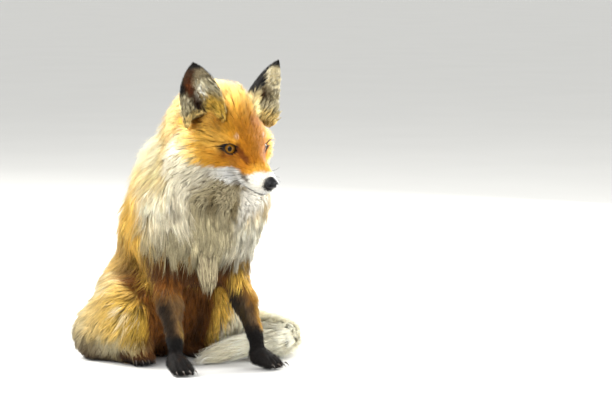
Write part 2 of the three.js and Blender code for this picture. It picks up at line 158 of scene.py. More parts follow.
print("lens", round(camera_data.lens), "mm")

# %% Lights
LIT_MIDDLE = (0, 0, 0.2)  # the place that every light looks at


def area_light(name, place, size, power, color=(1, 1, 1)):
    """A square soft light that looks at the middle of the fox."""
    data = bpy.data.lights.new(name, "AREA")
    data.size, data.energy, data.color = size, power, color
    light = bpy.data.objects.new(name, data)
    light.location = place
    light.rotation_mode = "QUATERNION"
    light.rotation_quaternion = (Vector(LIT_MIDDLE) - Vector(place)).to_track_quat("-Z", "Y")
    bpy.context.collection.objects.link(light)


area_light("sky_light", (-1.3, 1.3, 2.1), 1.6, 160, (1.0, 0.98, 0.93))
area_light("front_light", (-2.0, -2.0, 1.8), 2.6, 48)
area_light("side_light", (1.9, 0.9, 0.9), 1.4, 100, (1.0, 0.98, 0.93))
area_light("low_light", (1.3, -1.9, 0.45), 1.2, 44)

# %% [markdown]
# An eye looks alive by one bright spot on it. It could be painted on, but would then stay put from every
# side, so a small light gives it: the law of reflection says where that light has to stand for its image
# to lie at the upper left of the near eye's iris.

# %% A light for the eye
GLINT_SHIFT = (-0.16, 0.2)  # to the right and up from the middle of the iris
GLINT_DISTANCE = 2.4  # from the eye to the small light whose reflection the eye carries
glint = unit(GAZE["right"] + (to_right * GLINT_SHIFT[0] + Vector((0, 0, GLINT_SHIFT[1]))))
seen_from = unit(np.array(camera.location) - EYES["right"])
bounce = 2 * glint * np.dot(glint, seen_from) - seen_from
area_light("catch_light", EYES["right"] + bounce * GLINT_DISTANCE, 0.45, 20)
print("catch light towards", np.round(bounce, 2))

# %% World
world = bpy.data.worlds.new("studio")
bpy.context.scene.world = world
world.use_nodes = True
world.node_tree.nodes["Background"].inputs["Color"].default_value = (0.96, 0.96, 0.94, 1)
world.node_tree.nodes["Background"].inputs["Strength"].default_value = 1.05
bpy.context.scene.view_settings.view_transform = "Standard"

# %% [markdown]
# ## Helpers for smooth blends
#
# Most of what follows is a number that changes gently from place to place: how deep the coat is, how far
# a marking reaches, how two forms melt together. These few functions say that in one word each.

# %% Blends
def clamp(x, low=0.0, high=1.0):
    return np.minimum(np.maximum(x, low), high)


def ease(low, high, x):
    """0 below low, 1 above high, and a soft change between. It also runs downwards if high < low."""
    t = clamp((x - low) / (high - low))
    return t * t * (3 - 2 * t)


def bump_at(x, middle, reach):
    """1 at the middle, fading to nothing at about twice the reach."""
    return np.exp(-(((x - middle) / reach) ** 2))


def mix(a, b, share):
    return a + (b - a) * share


def melt(a, b, reach):
    """The union of two distance fields, rounded where they meet."""
    h = clamp(0.5 + 0.5 * (b - a) / reach)
    return mix(b, a, h) - reach * h * (1 - h)


def carve(a, b, reach):
    """Field a without what field b holds."""
    return -melt(-a, b, reach)


print("blend of 0 and 1 a quarter of the way", ease(0, 1, 0.25))

# %% Rods and places on a mesh
def limb_field(points, start, end, start_radius, end_radius):
    """Distance to a tapered rod with round ends."""
    along = end - start
    t = clamp(((points - start) @ along) / (along @ along))
    return np.linalg.norm(points - start - t[..., None] * along, axis=-1) - mix(start_radius, end_radius, t)


def shape_of(node):
    """A CAD node's vertices and triangles as arrays."""
    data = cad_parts[node].data
    data.calc_loop_triangles()
    points = np.empty(len(data.vertices) * 3, np.float32)
    data.vertices.foreach_get("co", points)
    triangles = np.empty(len(data.loop_triangles) * 3, np.int32)
    data.loop_triangles.foreach_get("vertices", triangles)
    return points.reshape(-1, 3), triangles.reshape(-1, 3)


def scattered(points, triangles, count, weights=None):
    """Places spread over a mesh by area: the points, their triangles and their shares of the corners."""
    a, b, c = (points[triangles[:, n]] for n in range(3))
    area = np.linalg.norm(np.cross(b - a, c - a), axis=1)
    if weights is not None:
        area = area * weights
    steps = np.cumsum(area)
    found = np.searchsorted(steps, (np.arange(count) + RNG.random(count)) / count * steps[-1])
    found = np.minimum(found, len(triangles) - 1)
    u, v = np.sqrt(RNG.random(count)), RNG.random(count)
    shares = np.stack([1 - u, u * (1 - v), u * v], axis=1)
    places = (points[triangles[found]] * shares[..., None]).sum(axis=1)
    return places, found, shares


# %% [markdown]
# ## A field on a grid
#
# A field is a grid of numbers that can be read between its cells. One kind holds the distance to a
# surface, which is negative inside, and its slope is the direction straight out. Another kind spreads
# values that are known only on the surface into the space around it, so that a coat's depth or its lie
# changes smoothly from one part of the body to the next.

# %% Fields
class Field:
    """Values on a grid of cubes with its lowest corner at low, read by straight blends between cells."""

    def __init__(self, values, low, cell):
        self.values, self.low, self.cell = values, np.asarray(low, float), cell

    def at(self, points):
        size = np.array(self.values.shape[:3])
        q = clamp((points - self.low) / self.cell, 0, size - 1.001)
        i = q.astype(int)
        t = q - i
        total = 0
        for corner in range(8):
            step = np.array([corner & 1, corner >> 1 & 1, corner >> 2])
            share = np.prod(np.where(step, t, 1 - t), axis=1)
            x, y, z = (i + step).T
            value = self.values[x, y, z]
            total = total + value * (share if value.ndim == 1 else share[:, None])
        return total

    def slope(self, points):
        step = self.cell * 0.75 * np.eye(3)
        return unit(np.stack([self.at(points + d) - self.at(points - d) for d in step], axis=1))

    def places(self):
        """The point at the middle of each cell, as a grid of points."""
        axes = [self.low[n] + self.cell * np.arange(self.values.shape[n]) for n in range(3)]
        return np.stack(np.meshgrid(*axes, indexing="ij"), axis=-1)


# %% Blurring and spreading
def blurred(values, reach):
    """A grid blurred along its three axes, with reach in cells."""
    span = int(np.ceil(reach * 2.5))
    weights = np.exp(-0.5 * (np.arange(-span, span + 1) / reach) ** 2)
    weights /= weights.sum()
    for axis in range(3):
        ends = [(0, 0)] * values.ndim
        ends[axis] = (span, span)
        padded, total = np.pad(values, ends, mode="edge"), 0
        for n, weight in enumerate(weights):
            window = [slice(None)] * values.ndim
            window[axis] = slice(n, n + values.shape[axis])
            total = total + padded[tuple(window)] * np.float32(weight)
        values = total
    return values


def spread(points, values, cell, reach, low, high):
    """A field that carries values, known at points, smoothly into the space round them."""
    size = np.ceil((np.asarray(high) - low) / cell).astype(int) + 1
    values = values.reshape(len(points), -1)
    i = np.clip(np.round((points - low) / cell).astype(int), 0, size - 1)
    flat = (i[:, 0] * size[1] + i[:, 1]) * size[2] + i[:, 2]
    ones = np.ones(len(points))
    total = [np.bincount(flat, weights=v, minlength=np.prod(size)) for v in (*values.T, ones)]
    total = blurred(np.stack(total, axis=-1).reshape(*size, -1).astype(np.float32), reach / cell)
    wide = blurred(total, 2.5 * reach / cell)  # reaches further out, where the close blur finds nothing
    total = total + wide * 0.02 + 1e-9 * wide.mean(axis=(0, 1, 2))
    share = total[..., :-1] / np.maximum(total[..., -1:], 1e-20)
    return Field(share if share.shape[-1] > 1 else share[..., 0], low, cell)


BODY_LOW, BODY_HIGH = (np.array(corner) for corner in cad_box)
MARGIN = 0.02
ROOM_LOW, ROOM_HIGH = BODY_LOW - MARGIN, BODY_HIGH + MARGIN  # the corners of every grid of the whole body
print("size in mm", np.round((BODY_HIGH - BODY_LOW) / MM))

# %% [markdown]
# ## The coat's outer surface
#
# The flesh nodes of the CAD model, with the eyeballs filled in, are turned into one distance field. The
# thin cuts between the nodes close when the surface is first swollen by a millimetre and the distances
# are then measured back from the swollen one. A light blur takes the facets off.

# %% Nodes of flesh and ears
FLESH = [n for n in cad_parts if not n.startswith(("claw", "nose", "ear", "eye"))]
EARS = [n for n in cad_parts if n.startswith("ear")]
print("flesh", len(FLESH), "nodes, ears", len(EARS))


def smooth_ear(node):
    """The ear's solid with its facets rounded by two subdivisions."""
    points, triangles = shape_of(node)
    mesh = bpy.data.meshes.new("smoothing")
    mesh.from_pydata(points.tolist(), [], triangles.tolist())
    shape = bmesh.new()
    shape.from_mesh(mesh)
    bmesh.ops.remove_doubles(shape, verts=shape.verts, dist=0.02 * MM)
    bmesh.ops.join_triangles(
        shape, faces=shape.faces, angle_face_threshold=1.2, angle_shape_threshold=1.2
    )
    shape.to_mesh(mesh)
    shape.free()
    piece = bpy.data.objects.new("smoothing", mesh)
    bpy.context.collection.objects.link(piece)
    rounding = piece.modifiers.new("round", "SUBSURF")
    rounding.levels = 2
    finished = piece.evaluated_get(bpy.context.evaluated_depsgraph_get()).to_mesh()
    finished.calc_loop_triangles()
    rounded = np.array([v.co for v in finished.vertices], np.float32)
    faces = np.array([t.vertices[:] for t in finished.loop_triangles], np.int32)
    bpy.data.objects.remove(piece)
    return rounded, faces


# %% Distances to the solids
GRID = vdb.createLinearTransform(voxelSize=1.0)
SWELL = 1.1 * MM


def distances(shapes, low, high, cell, reach):
    """The signed distance, in metres, to the union of closed shapes, true out to reach on both sides."""
    points, triangles, count = [], [], 0
    for shape_points, shape_triangles in shapes:
        points.append(shape_points)
        triangles.append(shape_triangles + count)
        count += len(shape_points)
    points = ((np.vstack(points) - low) / cell).astype(np.float32)
    close = vdb.FloatGrid.createLevelSetFromPolygons(
        points, triangles=np.vstack(triangles).astype(np.uint32), transform=GRID, halfWidth=3.0
    )
    swollen, triangles, quads = close.convertToPolygons(isovalue=SWELL / cell)
    wide = vdb.FloatGrid.createLevelSetFromPolygons(
        swollen, triangles=triangles if len(triangles) else None, quads=quads,
        transform=GRID, halfWidth=reach / cell,
    )
    values = np.empty(tuple(np.ceil((high - low) / cell).astype(int)), np.float32)
    wide.copyToArray(values)
    return Field(values * cell + SWELL, low, cell)


# %% The body's outer surface
EAR_ROOT = {"out": 25, "ahead": -37, "up": 3}
EAR_ROOT_RADIUS, EAR_ROOT_MELT = 17 * MM, 9 * MM


def with_ear_roots(field):
    """Fills the rooms in the head where the ears stand, so that no ledge shows in front of them."""
    points = field.places()
    for side in SIDES.values():
        middle = on_head(EAR_ROOT["out"] * side, EAR_ROOT["ahead"], EAR_ROOT["up"])
        filling = np.linalg.norm(points - middle, axis=-1) - EAR_ROOT_RADIUS
        field.values = melt(field.values, filling, EAR_ROOT_MELT)
    return field


BODY_CELL = 2 * MM
BODY_REACH = 34 * MM  # how far from the surface the distances are true
outer_shapes = [shape_of(n) for n in FLESH + ["eye_left", "eye_right"]]
outer = distances(outer_shapes, ROOM_LOW, ROOM_HIGH, BODY_CELL, BODY_REACH)
outer.values = blurred(outer.values, 1.6)  # in cells
outer = with_ear_roots(outer)
print("grid", outer.values.shape, "deepest", round(float(outer.values.min()) / MM), "mm")

# %% [markdown]
# ## Toes
#
# A fox's paw has four toes with a shallow groove between each two. Modelled toes would part the paw's
# solid, so the grooves are pressed into the field instead, between each pair of claws and back to the heel.

# %% Grooves between the toes
TOES_HIGH = 30 * MM  # nothing above this is changed
GROOVE_DEPTH, GROOVE_WIDTH = 2.4 * MM, 1.9


def with_toes(field):
    """Shallow grooves between the toes, in line with the claws, cut into the lowest layers of the grid."""
    layers = int((TOES_HIGH - field.low[2]) / field.cell)
    points = Field(field.values[:, :, :layers], field.low, field.cell).places()
    for foot in (f"{end}_{name}" for end in ("fore", "hind") for name in SIDES):
        tips = [spot(n, 0.5, 0.5, 0.5) for n in sorted(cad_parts) if n.startswith(f"claw_{foot}")]
        middle = sum(tips) / len(tips)
        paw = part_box(f"{'forepaw' if 'fore' in foot else 'hindfoot'}_{foot[5:]}")
        heel = np.array([*((paw[0] + paw[1]) / 2)])
        for one, other in zip(tips, tips[1:]):
            end = (one + other) / 2
            along = unit((mix(middle, end, 0.5) - heel) * (1, 1, 0))
            offset = (points - end) / MM
            beside = offset @ np.cross((0, 0, 1), along)
            behind = -offset @ along
            groove = bump_at(beside, 0, GROOVE_WIDTH) * ease(30, 18, behind) * ease(-14, -8, behind)
            field.values[:, :, :layers] += GROOVE_DEPTH * groove * ease(28, 20, points[..., 2] / MM)
    return field


before = outer.values.copy()
outer = with_toes(outer)
print("deepest groove", round(float((outer.values - before).max()) / MM, 1), "mm")

# %% [markdown]
# ## The lie of the coat
#
# A fox's hair leaves the nose and runs back over the head, falls down the neck, chest and sides, swirls
# back over the haunches and follows the tail to its tip. Each node of the model says here, for points on
# it, how deep its coat is, how long and broad its locks are and which way they lie. These are sampled
# all over the solids and spread into one smooth field, so that the coat changes without a seam.

# %% The tail's line
def smooth_line(points, count):
    """Evenly spaced places on a smooth curve through points."""
    points = np.array(points)
    padded = np.vstack([2 * points[0] - points[1], points, 2 * points[-1] - points[-2]])
    t = np.linspace(0, len(points) - 1.0001, 40 * len(points))
    i = t.astype(int)
    f = (t - i)[:, None]
    a, b, c, d = (padded[i + n] for n in range(4))
    bend, twist = 2 * a - 5 * b + 4 * c - d, 3 * b - a - 3 * c + d
    dense = 0.5 * (2 * b + (c - a) * f + bend * f**2 + twist * f**3)
    reached = np.r_[0, np.cumsum(np.linalg.norm(np.diff(dense, axis=0), axis=1))]
    even = np.linspace(0, reached[-1], count)
    return np.stack([np.interp(even, reached, dense[:, n]) for n in range(3)], axis=1)


TAIL_STOPS = (  # node, and shares of the way across its box
    ("tail_root", 0.08, 0.42, 0.67), ("tail_root", 0.25, 0.61, 0.58), ("tail_root", 0.52, 0.61, 0.54),
    ("tail_root", 0.77, 0.26, 0.49), ("tail_middle", 0.55, 0.63, 0.46), ("tail_middle", 0.46, 0.29, 0.44),
    ("tail_tip", 0.79, 0.53, 0.51), ("tail_tip", 0.47, 0.33, 0.4), ("tail_tip", 0.19, 0.26, 0.23),
    ("tail_tip", 0.0, 0.24, 0.08),
)
TAIL = smooth_line([spot(*stop) for stop in TAIL_STOPS], 60)
TAIL_ALONG = unit(np.gradient(TAIL, axis=0))
TAIL_RADIUS = np.maximum(-outer.at(TAIL), 4 * MM)
print("tail", round(float(np.linalg.norm(np.diff(TAIL, axis=0), axis=1).sum()) / MM), "mm long")


def nearest(points, line):
    """For each point, the index of the nearest place on a line."""
    return np.argmin(((points[:, None] - line[None]) ** 2).sum(axis=2), axis=1)


def on_tail(points):
    """How far along the tail points lie, from 0 at its root to 1 at its tip."""
    return nearest(points, TAIL) / (len(TAIL) - 1)


# %% Chest, ruff and mouth
CHEST = spot("trunk", 0.5, 0.0, 0.5)
RUFF_END = 0.165  # the height of the lowest roots of the ruff
MOUTH = {"ahead": [18, 30, 46, 60, 70, 78, 86], "up": [-31.5, -33.5, -32, -29.0, -25.4, -21.8, -18.5]}


def above_mouth(points):
    """How far points on the muzzle are above the lips' line, in millimetres."""
    _, ahead, up = in_head(points.reshape(-1, 3)).T
    return (up - np.interp(ahead, MOUTH["ahead"], MOUTH["up"])).reshape(points.shape[:-1])


print("lips' line runs", MOUTH["ahead"][-1] - MOUTH["ahead"][0], "mm back from the nose")

# %% [markdown]
# Each function below takes points of a solid and their normals, and answers with the coat's depth there,
# the length and breadth of its locks and their lift, all in millimetres but the lift, and its lie.

# %% Coat of the head
def coat_on_head(node, p, n):
    out, ahead, up = in_head(p).T
    wide = np.abs(out)
    back = ease(12, -45, ahead)
    cheek = ease(24, 48, wide) * ease(20, -15, ahead)
    below = ease(-24, -42, up) * ease(26, -4, ahead)
    crown = ease(0, 30, up) * ease(-5, -40, ahead)
    fluff = np.maximum.reduce([back, cheek, below * 0.8])
    snout = ease(15, 60, ahead)
    depth = mix(2.6, 9.5, fluff) - 1.2 * snout
    length = mix(8.5, 26, fluff) - 4.5 * snout
    width = mix(0.62, 0.95, fluff) - 0.1 * snout
    lift = mix(0.3, 0.8, fluff) + 0.35 * crown
    lips = ease(8, 2, np.abs(above_mouth(p))) * ease(24, 36, ahead)
    length, depth = length * (1 - 0.45 * lips), depth * (1 - 0.35 * lips)
    away = np.stack([out * 0.85, ahead - 84, up * 0.8 + 3], axis=1)
    away = unit(away) + np.stack([0.5 * np.sign(out), 0 * out, -0.75 + 0 * out], axis=1) * cheek[:, None]
    away[:, 2] -= 0.9 * below
    away[:, 2] += 0.5 * crown
    return depth, length, width, lift, unit(away) @ HEAD_AXES


# %% Coat of the neck and trunk
def coat_on_neck(node, p, n):
    front = ease(0.25, -0.45, n[:, 1]) * ease(0.3, 0.24, p[:, 2])
    back = ease(0.1, 0.8, n[:, 1])
    lie = np.stack([0.12 * n[:, 0], 0.25 + 0.35 * back - 0.3 * front, -1 + 0 * back], axis=1)
    lie[:, 0] -= front * (p[:, 0] - CHEST[0]) * 5 * ease(0.24, 0.17, p[:, 2])
    return mix(15, 18, front), mix(44, 50, front), mix(0.95, 1.0, front), 1.0 + 0.2 * back, lie


def coat_on_trunk(node, p, n):
    front = ease(0.2, -0.5, n[:, 1])
    low = ease(RUFF_END, 0.1, p[:, 2]) * front
    lie = np.stack([0.1 * n[:, 0], 0.3 - 0.3 * front, -1 + 0 * front], axis=1)
    return mix(14, 9, low), mix(44, 24, low), mix(1.0, 0.85, low), 0.9 - 0.2 * low, lie


# %% Coat of the legs and feet
def coat_on_haunch(node, p, n):
    side = SIDES[node.split("_")[1]]
    low = ease(0.06, 0.015, p[:, 2])
    inner = ease(0.1, -0.6, n[:, 0] * side)
    lie = np.stack([0.2 * side + 0 * low, 0.75 - 0.6 * inner, -0.8 - 0.3 * low], axis=1)
    return mix(13, 8, np.maximum(low, inner)), mix(38, 22, low), mix(0.95, 0.85, low), 0.85 + 0 * low, lie


def coat_on_foreleg(node, p, n):
    high = ease(0.055, 0.11, p[:, 2])
    lie = np.stack([0 * high, 0.08 + 0.1 * n[:, 1], -1 + 0 * high], axis=1)
    return mix(1.8, 4.5, high), mix(9, 18, high), mix(0.7, 0.85, high), 0.5 + 0.3 * high, lie


def coat_on_foot(node, p, n):
    where = (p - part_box(node)[0]) / np.array(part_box(node)[1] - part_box(node)[0])
    ahead = ease(0.9, 0.2, where[:, 1])
    lie = np.stack([0.25 * (where[:, 0] - 0.5), -0.4 - ahead, -0.9 + 0.3 * ahead], axis=1)
    return 1.7 + 0 * ahead, 6 - 1.6 * ahead, 0.6 + 0 * ahead, 0.35 + 0 * ahead, lie


# %% Coat of the tail
def coat_on_tail(node, p, n):
    t = on_tail(p)
    k = nearest(p, TAIL)
    full = ease(0, 0.2, t) * ease(1.02, 0.8, t)
    depth = np.minimum(mix(10, 19, full), 0.55 * TAIL_RADIUS[k] / MM)
    return depth, mix(30, 46, full), mix(1.0, 1.15, full), 0.9 + 0.3 * full, TAIL_ALONG[k]


# %% One coat for the whole animal
COATS = {
    "face": coat_on_head, "head": coat_on_head, "neck": coat_on_neck, "trunk": coat_on_trunk,
    "haunch": coat_on_haunch, "foreleg": coat_on_foreleg, "forepaw": coat_on_foot,
    "hindfoot": coat_on_foot, "tail": coat_on_tail,
}
SAMPLES_PER_SQUARE_METRE = 150_000
NOT_A_CUT = -2 * MM  # the faces of the cuts between nodes lie deeper than this
COAT_CELL, COAT_REACH = 4 * MM, 5 * MM

sample_points, sample_values = [], []
for node in FLESH:
    points, triangles = shape_of(node)
    a, b, c = (points[triangles[:, n]] for n in range(3))
    facing = np.cross(b - a, c - a)
    area = np.linalg.norm(facing, axis=1).sum() / 2
    places, found, _ = scattered(points, triangles, int(area * SAMPLES_PER_SQUARE_METRE))
    close = outer.at(places) > NOT_A_CUT
    places, normals = places[close], unit(facing[found[close]])
    depth, length, width, lift, lie = COATS[node.split("_")[0]](node, places, normals)
    sample_points.append(places)
    sample_values.append(np.column_stack([depth, length, width, lift, unit(lie)]))
combed = spread(
    np.vstack(sample_points), np.vstack(sample_values), COAT_CELL, COAT_REACH, ROOM_LOW, ROOM_HIGH
)
print("coat sampled at", sum(map(len, sample_points)), "places")

# %% [markdown]
# ## The skin
#
# One closed skin lies under the coat. The body's is the outer surface moved inwards by the coat's depth.
# The head needs a finer grid, because the lids and lips are small, and the thin ears are rounded from their
# own solids. Each is turned into a mesh, and a boolean union joins them; head and body meet inside the neck,
# where both are deep in fur.

# %% The head's own distances
def resampled(field, low, cell, size):
    """A field's values on another grid, blended along one axis after another."""
    values = field.values
    for axis in range(3):
        q = (low[axis] + cell * np.arange(size[axis]) - field.low[axis]) / field.cell
        q = clamp(q, 0, values.shape[axis] - 1.001)
        i = q.astype(int)
        t = (q - i).astype(np.float32).reshape([-1 if n == axis else 1 for n in range(values.ndim)])
        values = np.take(values, i, axis) * (1 - t) + np.take(values, i + 1, axis) * t
    return values


HEAD_CELL = 1.25 * MM
HEAD_MIDDLE = on_head(0, -35, 0)
HEAD_REACH = 100 * MM  # the fine grid holds what lies within this of the middle of the head
SLACK = 8 * MM
ends = np.array([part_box(node) for node in EARS + ["nose"]])
head_low = np.minimum(HEAD_MIDDLE - HEAD_REACH, ends[:, 0].min(axis=0) - SLACK)
head_high = np.maximum(HEAD_MIDDLE + HEAD_REACH, ends[:, 1].max(axis=0) + SLACK)
HEAD_NODES = ["face", "head", "neck", "trunk", "eye_left", "eye_right"]
head_outer = distances([shape_of(n) for n in HEAD_NODES], head_low, head_high, HEAD_CELL, 16 * MM)
head_outer.values = blurred(head_outer.values, 1.7)  # in cells
head_outer = with_ear_roots(head_outer)
print("head grid", head_outer.values.shape)

# %% [markdown]
# ## The face's folds
#
# On a living fox the lids wrap the ball of the eye, the inner corner runs to a point towards the nose,
# the upper lip overhangs the lower jaw in a dark line, and the bare nose is let into the end of the
# muzzle. The lids and lips are carved into the head's field by short formulas in the head's own axes; the
# nose is a piece of its own.

# %% Lids and lips
LID_TILT = math.radians(15)  # the inner corner is lower than the outer one
OPENING = {"half_width": 7.0, "top": 6.2, "bottom": 6.2, "inner_corner": 8.4}
LID = 1.5  # how far the lids' edges stand off the ball


def on_lids(name, points):
    """Points seen along an eye's gaze, in mm: towards the nose, up the lids, from the ball, and ahead."""
    side = SIDES[name]
    gaze = GAZE[name]
    inward = unit(-OUT * side - gaze * np.dot(-OUT * side, gaze))
    upward = np.cross(inward, gaze) * side
    inner = inward * math.cos(LID_TILT) - upward * math.sin(LID_TILT)
    upper = upward * math.cos(LID_TILT) + inward * math.sin(LID_TILT)
    offset = (points - EYES[name]) / MM
    return offset @ inner, offset @ upper, np.linalg.norm(offset, axis=-1), offset @ gaze


def almond(name, points, wider=0.0):
    """Distance in mm to the almond between the lids, negative inside it, measured across the gaze."""
    inner, upper, _, ahead = on_lids(name, points)
    reach = OPENING["half_width"] + wider + OPENING["inner_corner"] * ease(0, 9, inner)
    half = np.where(upper > 0, OPENING["top"], OPENING["bottom"]) + 0.3 * wider
    across = clamp(np.abs(inner) / reach, 0, 1.4)
    edge = half * (1 - across**2.2 * (1 - 0.12 * ease(2, 9, inner)))
    return np.where(ahead > 0, np.abs(upper) - edge, 20.0)


def face_folds(points, field):
    """The head's field, in metres, with lids and lips added."""
    ahead = in_head(points.reshape(-1, 3))[:, 1].reshape(points.shape[:-1])
    for name in SIDES:
        _, upper, ball, _ = on_lids(name, points)
        gap = almond(name, points)
        field = melt(field, (ball - (EYE_RADIUS / MM + LID)) * MM, 3.5 * MM)
        rim = bump_at(gap, 0.3, 1.4) * ease(16, 12, ball)
        field = field - 0.6 * MM * rim  # the lids' edges stand up a little
        opening = np.maximum(gap * 0.8, (EYE_RADIUS / MM - 1.2) - ball)
        field = carve(field, opening * MM, 0.6 * MM)
        crease = bump_at(gap, 4.2, 1.0) * ease(0, 3, upper) * ease(17, 13, ball)
        field = field + 0.7 * MM * crease  # the fold above the upper lid
    above = above_mouth(points)
    front = ease(14, 34, ahead)
    field = field + 2.2 * MM * bump_at(above, 0, 0.9) * front  # the line between the lips
    field = field - 0.8 * MM * bump_at(above, 3.0, 2.4) * front  # the upper lip's roll
    return field + 0.5 * MM * bump_at(above, -2.5, 2.0) * front


print("lids", OPENING["top"] + OPENING["bottom"], "mm apart, on a ball of", round(2 * EYE_RADIUS / MM), "mm")

# %% From fields to meshes
def mesh_of(name, field, coarse=0.0):
    """The surface of a field as a mesh object."""
    grid = vdb.FloatGrid(1.0)
    grid.copyFromArray(np.ascontiguousarray(field.values / field.cell))
    points, triangles, quads = grid.convertToPolygons(isovalue=0.0, adaptivity=coarse)
    points = (points * field.cell + field.low).astype(np.float32)
    corners = np.concatenate([triangles.ravel(), quads.ravel()]).astype(np.int32)
    starts = np.concatenate([np.arange(len(triangles)) * 3, len(triangles) * 3 + np.arange(len(quads)) * 4])
    mesh = bpy.data.meshes.new(name)
    mesh.vertices.add(len(points))
    mesh.vertices.foreach_set("co", points.ravel())
    mesh.loops.add(len(corners))
    mesh.loops.foreach_set("vertex_index", corners)
    mesh.polygons.add(len(starts))
    mesh.polygons.foreach_set("loop_start", starts.astype(np.int32))
    mesh.update(calc_edges=True)
    mesh.validate()
    made = bpy.data.objects.new(name, mesh)
    bpy.context.collection.objects.link(made)
    return made


# %% Closing and finishing meshes
def facing_out(piece):
    """Turns a closed mesh's faces outwards."""
    shape = bmesh.new()
    shape.from_mesh(piece.data)
    if shape.calc_volume(signed=True) < 0:
        bmesh.ops.reverse_faces(shape, faces=shape.faces)
    shape.to_mesh(piece.data)
    shape.free()


def finished_mesh(piece):
    """The piece with its modifiers applied."""
    done = bpy.data.meshes.new_from_object(piece.evaluated_get(bpy.context.evaluated_depsgraph_get()))
    piece.modifiers.clear()
    piece.data = done
    return piece


# %% Head and body as meshes
SINK, SINK_REACH = 3.2, (66, 90)
HEAD_END = 97 * MM  # the head's skin is cut off at this distance, deep inside the neck


def deeper(points, inside, outside):
    """Sinks one of two overlapping skins, so that they cross once, along a ring round the neck."""
    reach = np.linalg.norm(points - HEAD_MIDDLE, axis=-1) / MM
    return mix(inside, outside, ease(*SINK_REACH, reach)) * MM


head_points = head_outer.places()
head_depth = resampled(combed, head_low, HEAD_CELL, head_outer.values.shape)[..., 0] * MM
head_skin = head_outer.values + head_depth
head_skin = np.where(np.abs(head_skin) < 12 * MM, face_folds(head_points, head_skin), head_skin)
head_skin = head_skin + deeper(head_points, 0, SINK)
head_skin = np.maximum(head_skin, np.linalg.norm(head_points - HEAD_MIDDLE, axis=-1) - HEAD_END)
skin_head = mesh_of("skin_head", Field(head_skin.astype(np.float32), head_low, HEAD_CELL))

body_points = outer.places()
body_skin = outer.values + resampled(combed, outer.low, BODY_CELL, outer.values.shape)[..., 0] * MM
body_skin = body_skin + deeper(body_points, SINK, 0)
skin = mesh_of("skin", Field(body_skin.astype(np.float32), outer.low, BODY_CELL), coarse=0.02)
print("head skin", len(skin_head.data.vertices), "points, body skin", len(skin.data.vertices))

# %% Ears as meshes
def plain_object(name, points, faces):
    """An object from arrays of points and faces."""
    mesh = bpy.data.meshes.new(name)
    mesh.from_pydata(np.asarray(points).tolist(), [], [[int(n) for n in face] for face in faces])
    made = bpy.data.objects.new(name, mesh)
    bpy.context.collection.objects.link(made)
    return made


ear_pieces = [plain_object(f"skin_{node}", *smooth_ear(node)) for node in EARS]
for piece in (skin_head, skin, *ear_pieces):
    facing_out(piece)
    print(piece.name, len(piece.data.vertices), "points", len(piece.data.polygons), "faces")


# %% One skin
SKIN = bpy.data.materials.new("fox_skin")
EAR_SKIN = bpy.data.materials.new("fox_ear_skin")
for piece in (skin, skin_head, *ear_pieces):
    piece.data.materials.append(SKIN)
    piece.data.materials.append(EAR_SKIN)
    whose = np.full(len(piece.data.polygons), int(piece in ear_pieces), np.int32)
    piece.data.polygons.foreach_set("material_index", whose)
for other in (skin_head, *ear_pieces):
    joining = skin.modifiers.new("join", "BOOLEAN")
    joining.operation, joining.object, joining.solver = "UNION", other, "MANIFOLD"
finished_mesh(skin)
for other in (skin_head, *ear_pieces):
    bpy.data.objects.remove(other)
skin.data.shade_smooth()
shape = bmesh.new()
shape.from_mesh(skin.data)
print("skin", len(skin.data.polygons), "faces, open edges", sum(not e.is_manifold for e in shape.edges))
shape.free()
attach(skin, "root")
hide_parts(*FLESH, *EARS)

# %% [markdown]
# ## Markings
#
# A red fox isn't one red. The face is orange with white lips, the crown and nape are pale gold, the ruff
# is cream, the belly is a warm brown and the legs end in black stockings. Skin and hair take their
# colours from the same functions of place, so that a gap between locks shows the colour of the locks. The
# borders are broken up by two grids of random numbers, one coarse and one fine. Some light and shade is
# painted in as well: shade under the jaw, along the ruff's lower edge and between the thighs, and light on
# the ruff's left side and on the left haunch's inner and front sides.

# %% Colours
def colour(red, green, blue):
    """A colour as read from a swatch, turned into the linear values that the shader wants."""
    value = np.array([red, green, blue]) / 255
    return np.where(value <= 0.04045, value / 12.92, ((value + 0.055) / 1.055) ** 2.4)


ORANGE = colour(226, 158, 40)
RUST = colour(172, 100, 16)
DEEP_RUST = colour(112, 52, 6)
GOLD = colour(238, 192, 88)
PALE_GOLD = colour(252, 230, 170)
CREAM = colour(250, 240, 212)
WHITE = colour(246, 244, 238)
GREY_CREAM = colour(214, 204, 174)
GRIZZLE = colour(122, 108, 86)
WARM_BROWN = colour(120, 72, 24)
DARK_BROWN = colour(58, 36, 18)
BLACK = colour(24, 21, 20)
# painted shade: an olive grey for the shadow under the jaw and down the throat
PAINTED_SHADE_OLIVE = colour(146, 130, 82)
HAY = colour(222, 194, 126)
OLD_GOLD = colour(198, 160, 62)
LEG_RUST = colour(166, 112, 38)
SMOKE = colour(98, 84, 66)
ASH_CREAM = colour(190, 178, 142)
SNOW = colour(255, 250, 228)
print("orange in linear values", np.round(ORANGE, 2))

# %% Random grids and paint
def random_field(cell, reach):
    """Random values that change over about one cell."""
    size = np.ceil((BODY_HIGH - BODY_LOW + 2 * MARGIN) / cell).astype(int) + 1
    values = blurred(RNG.standard_normal(tuple(size)).astype(np.float32), reach)
    return Field(values / values.std(), BODY_LOW - MARGIN, cell)


patchy = random_field(6 * MM, 1.2)
flecked = random_field(2.5 * MM, 0.8)
print("patches", patchy.values.shape, "flecks", flecked.values.shape)


def paint(base, mask, tone):
    """Lays a colour over another one where the mask says."""
    return base + (tone - base) * np.asarray(mask)[:, None]


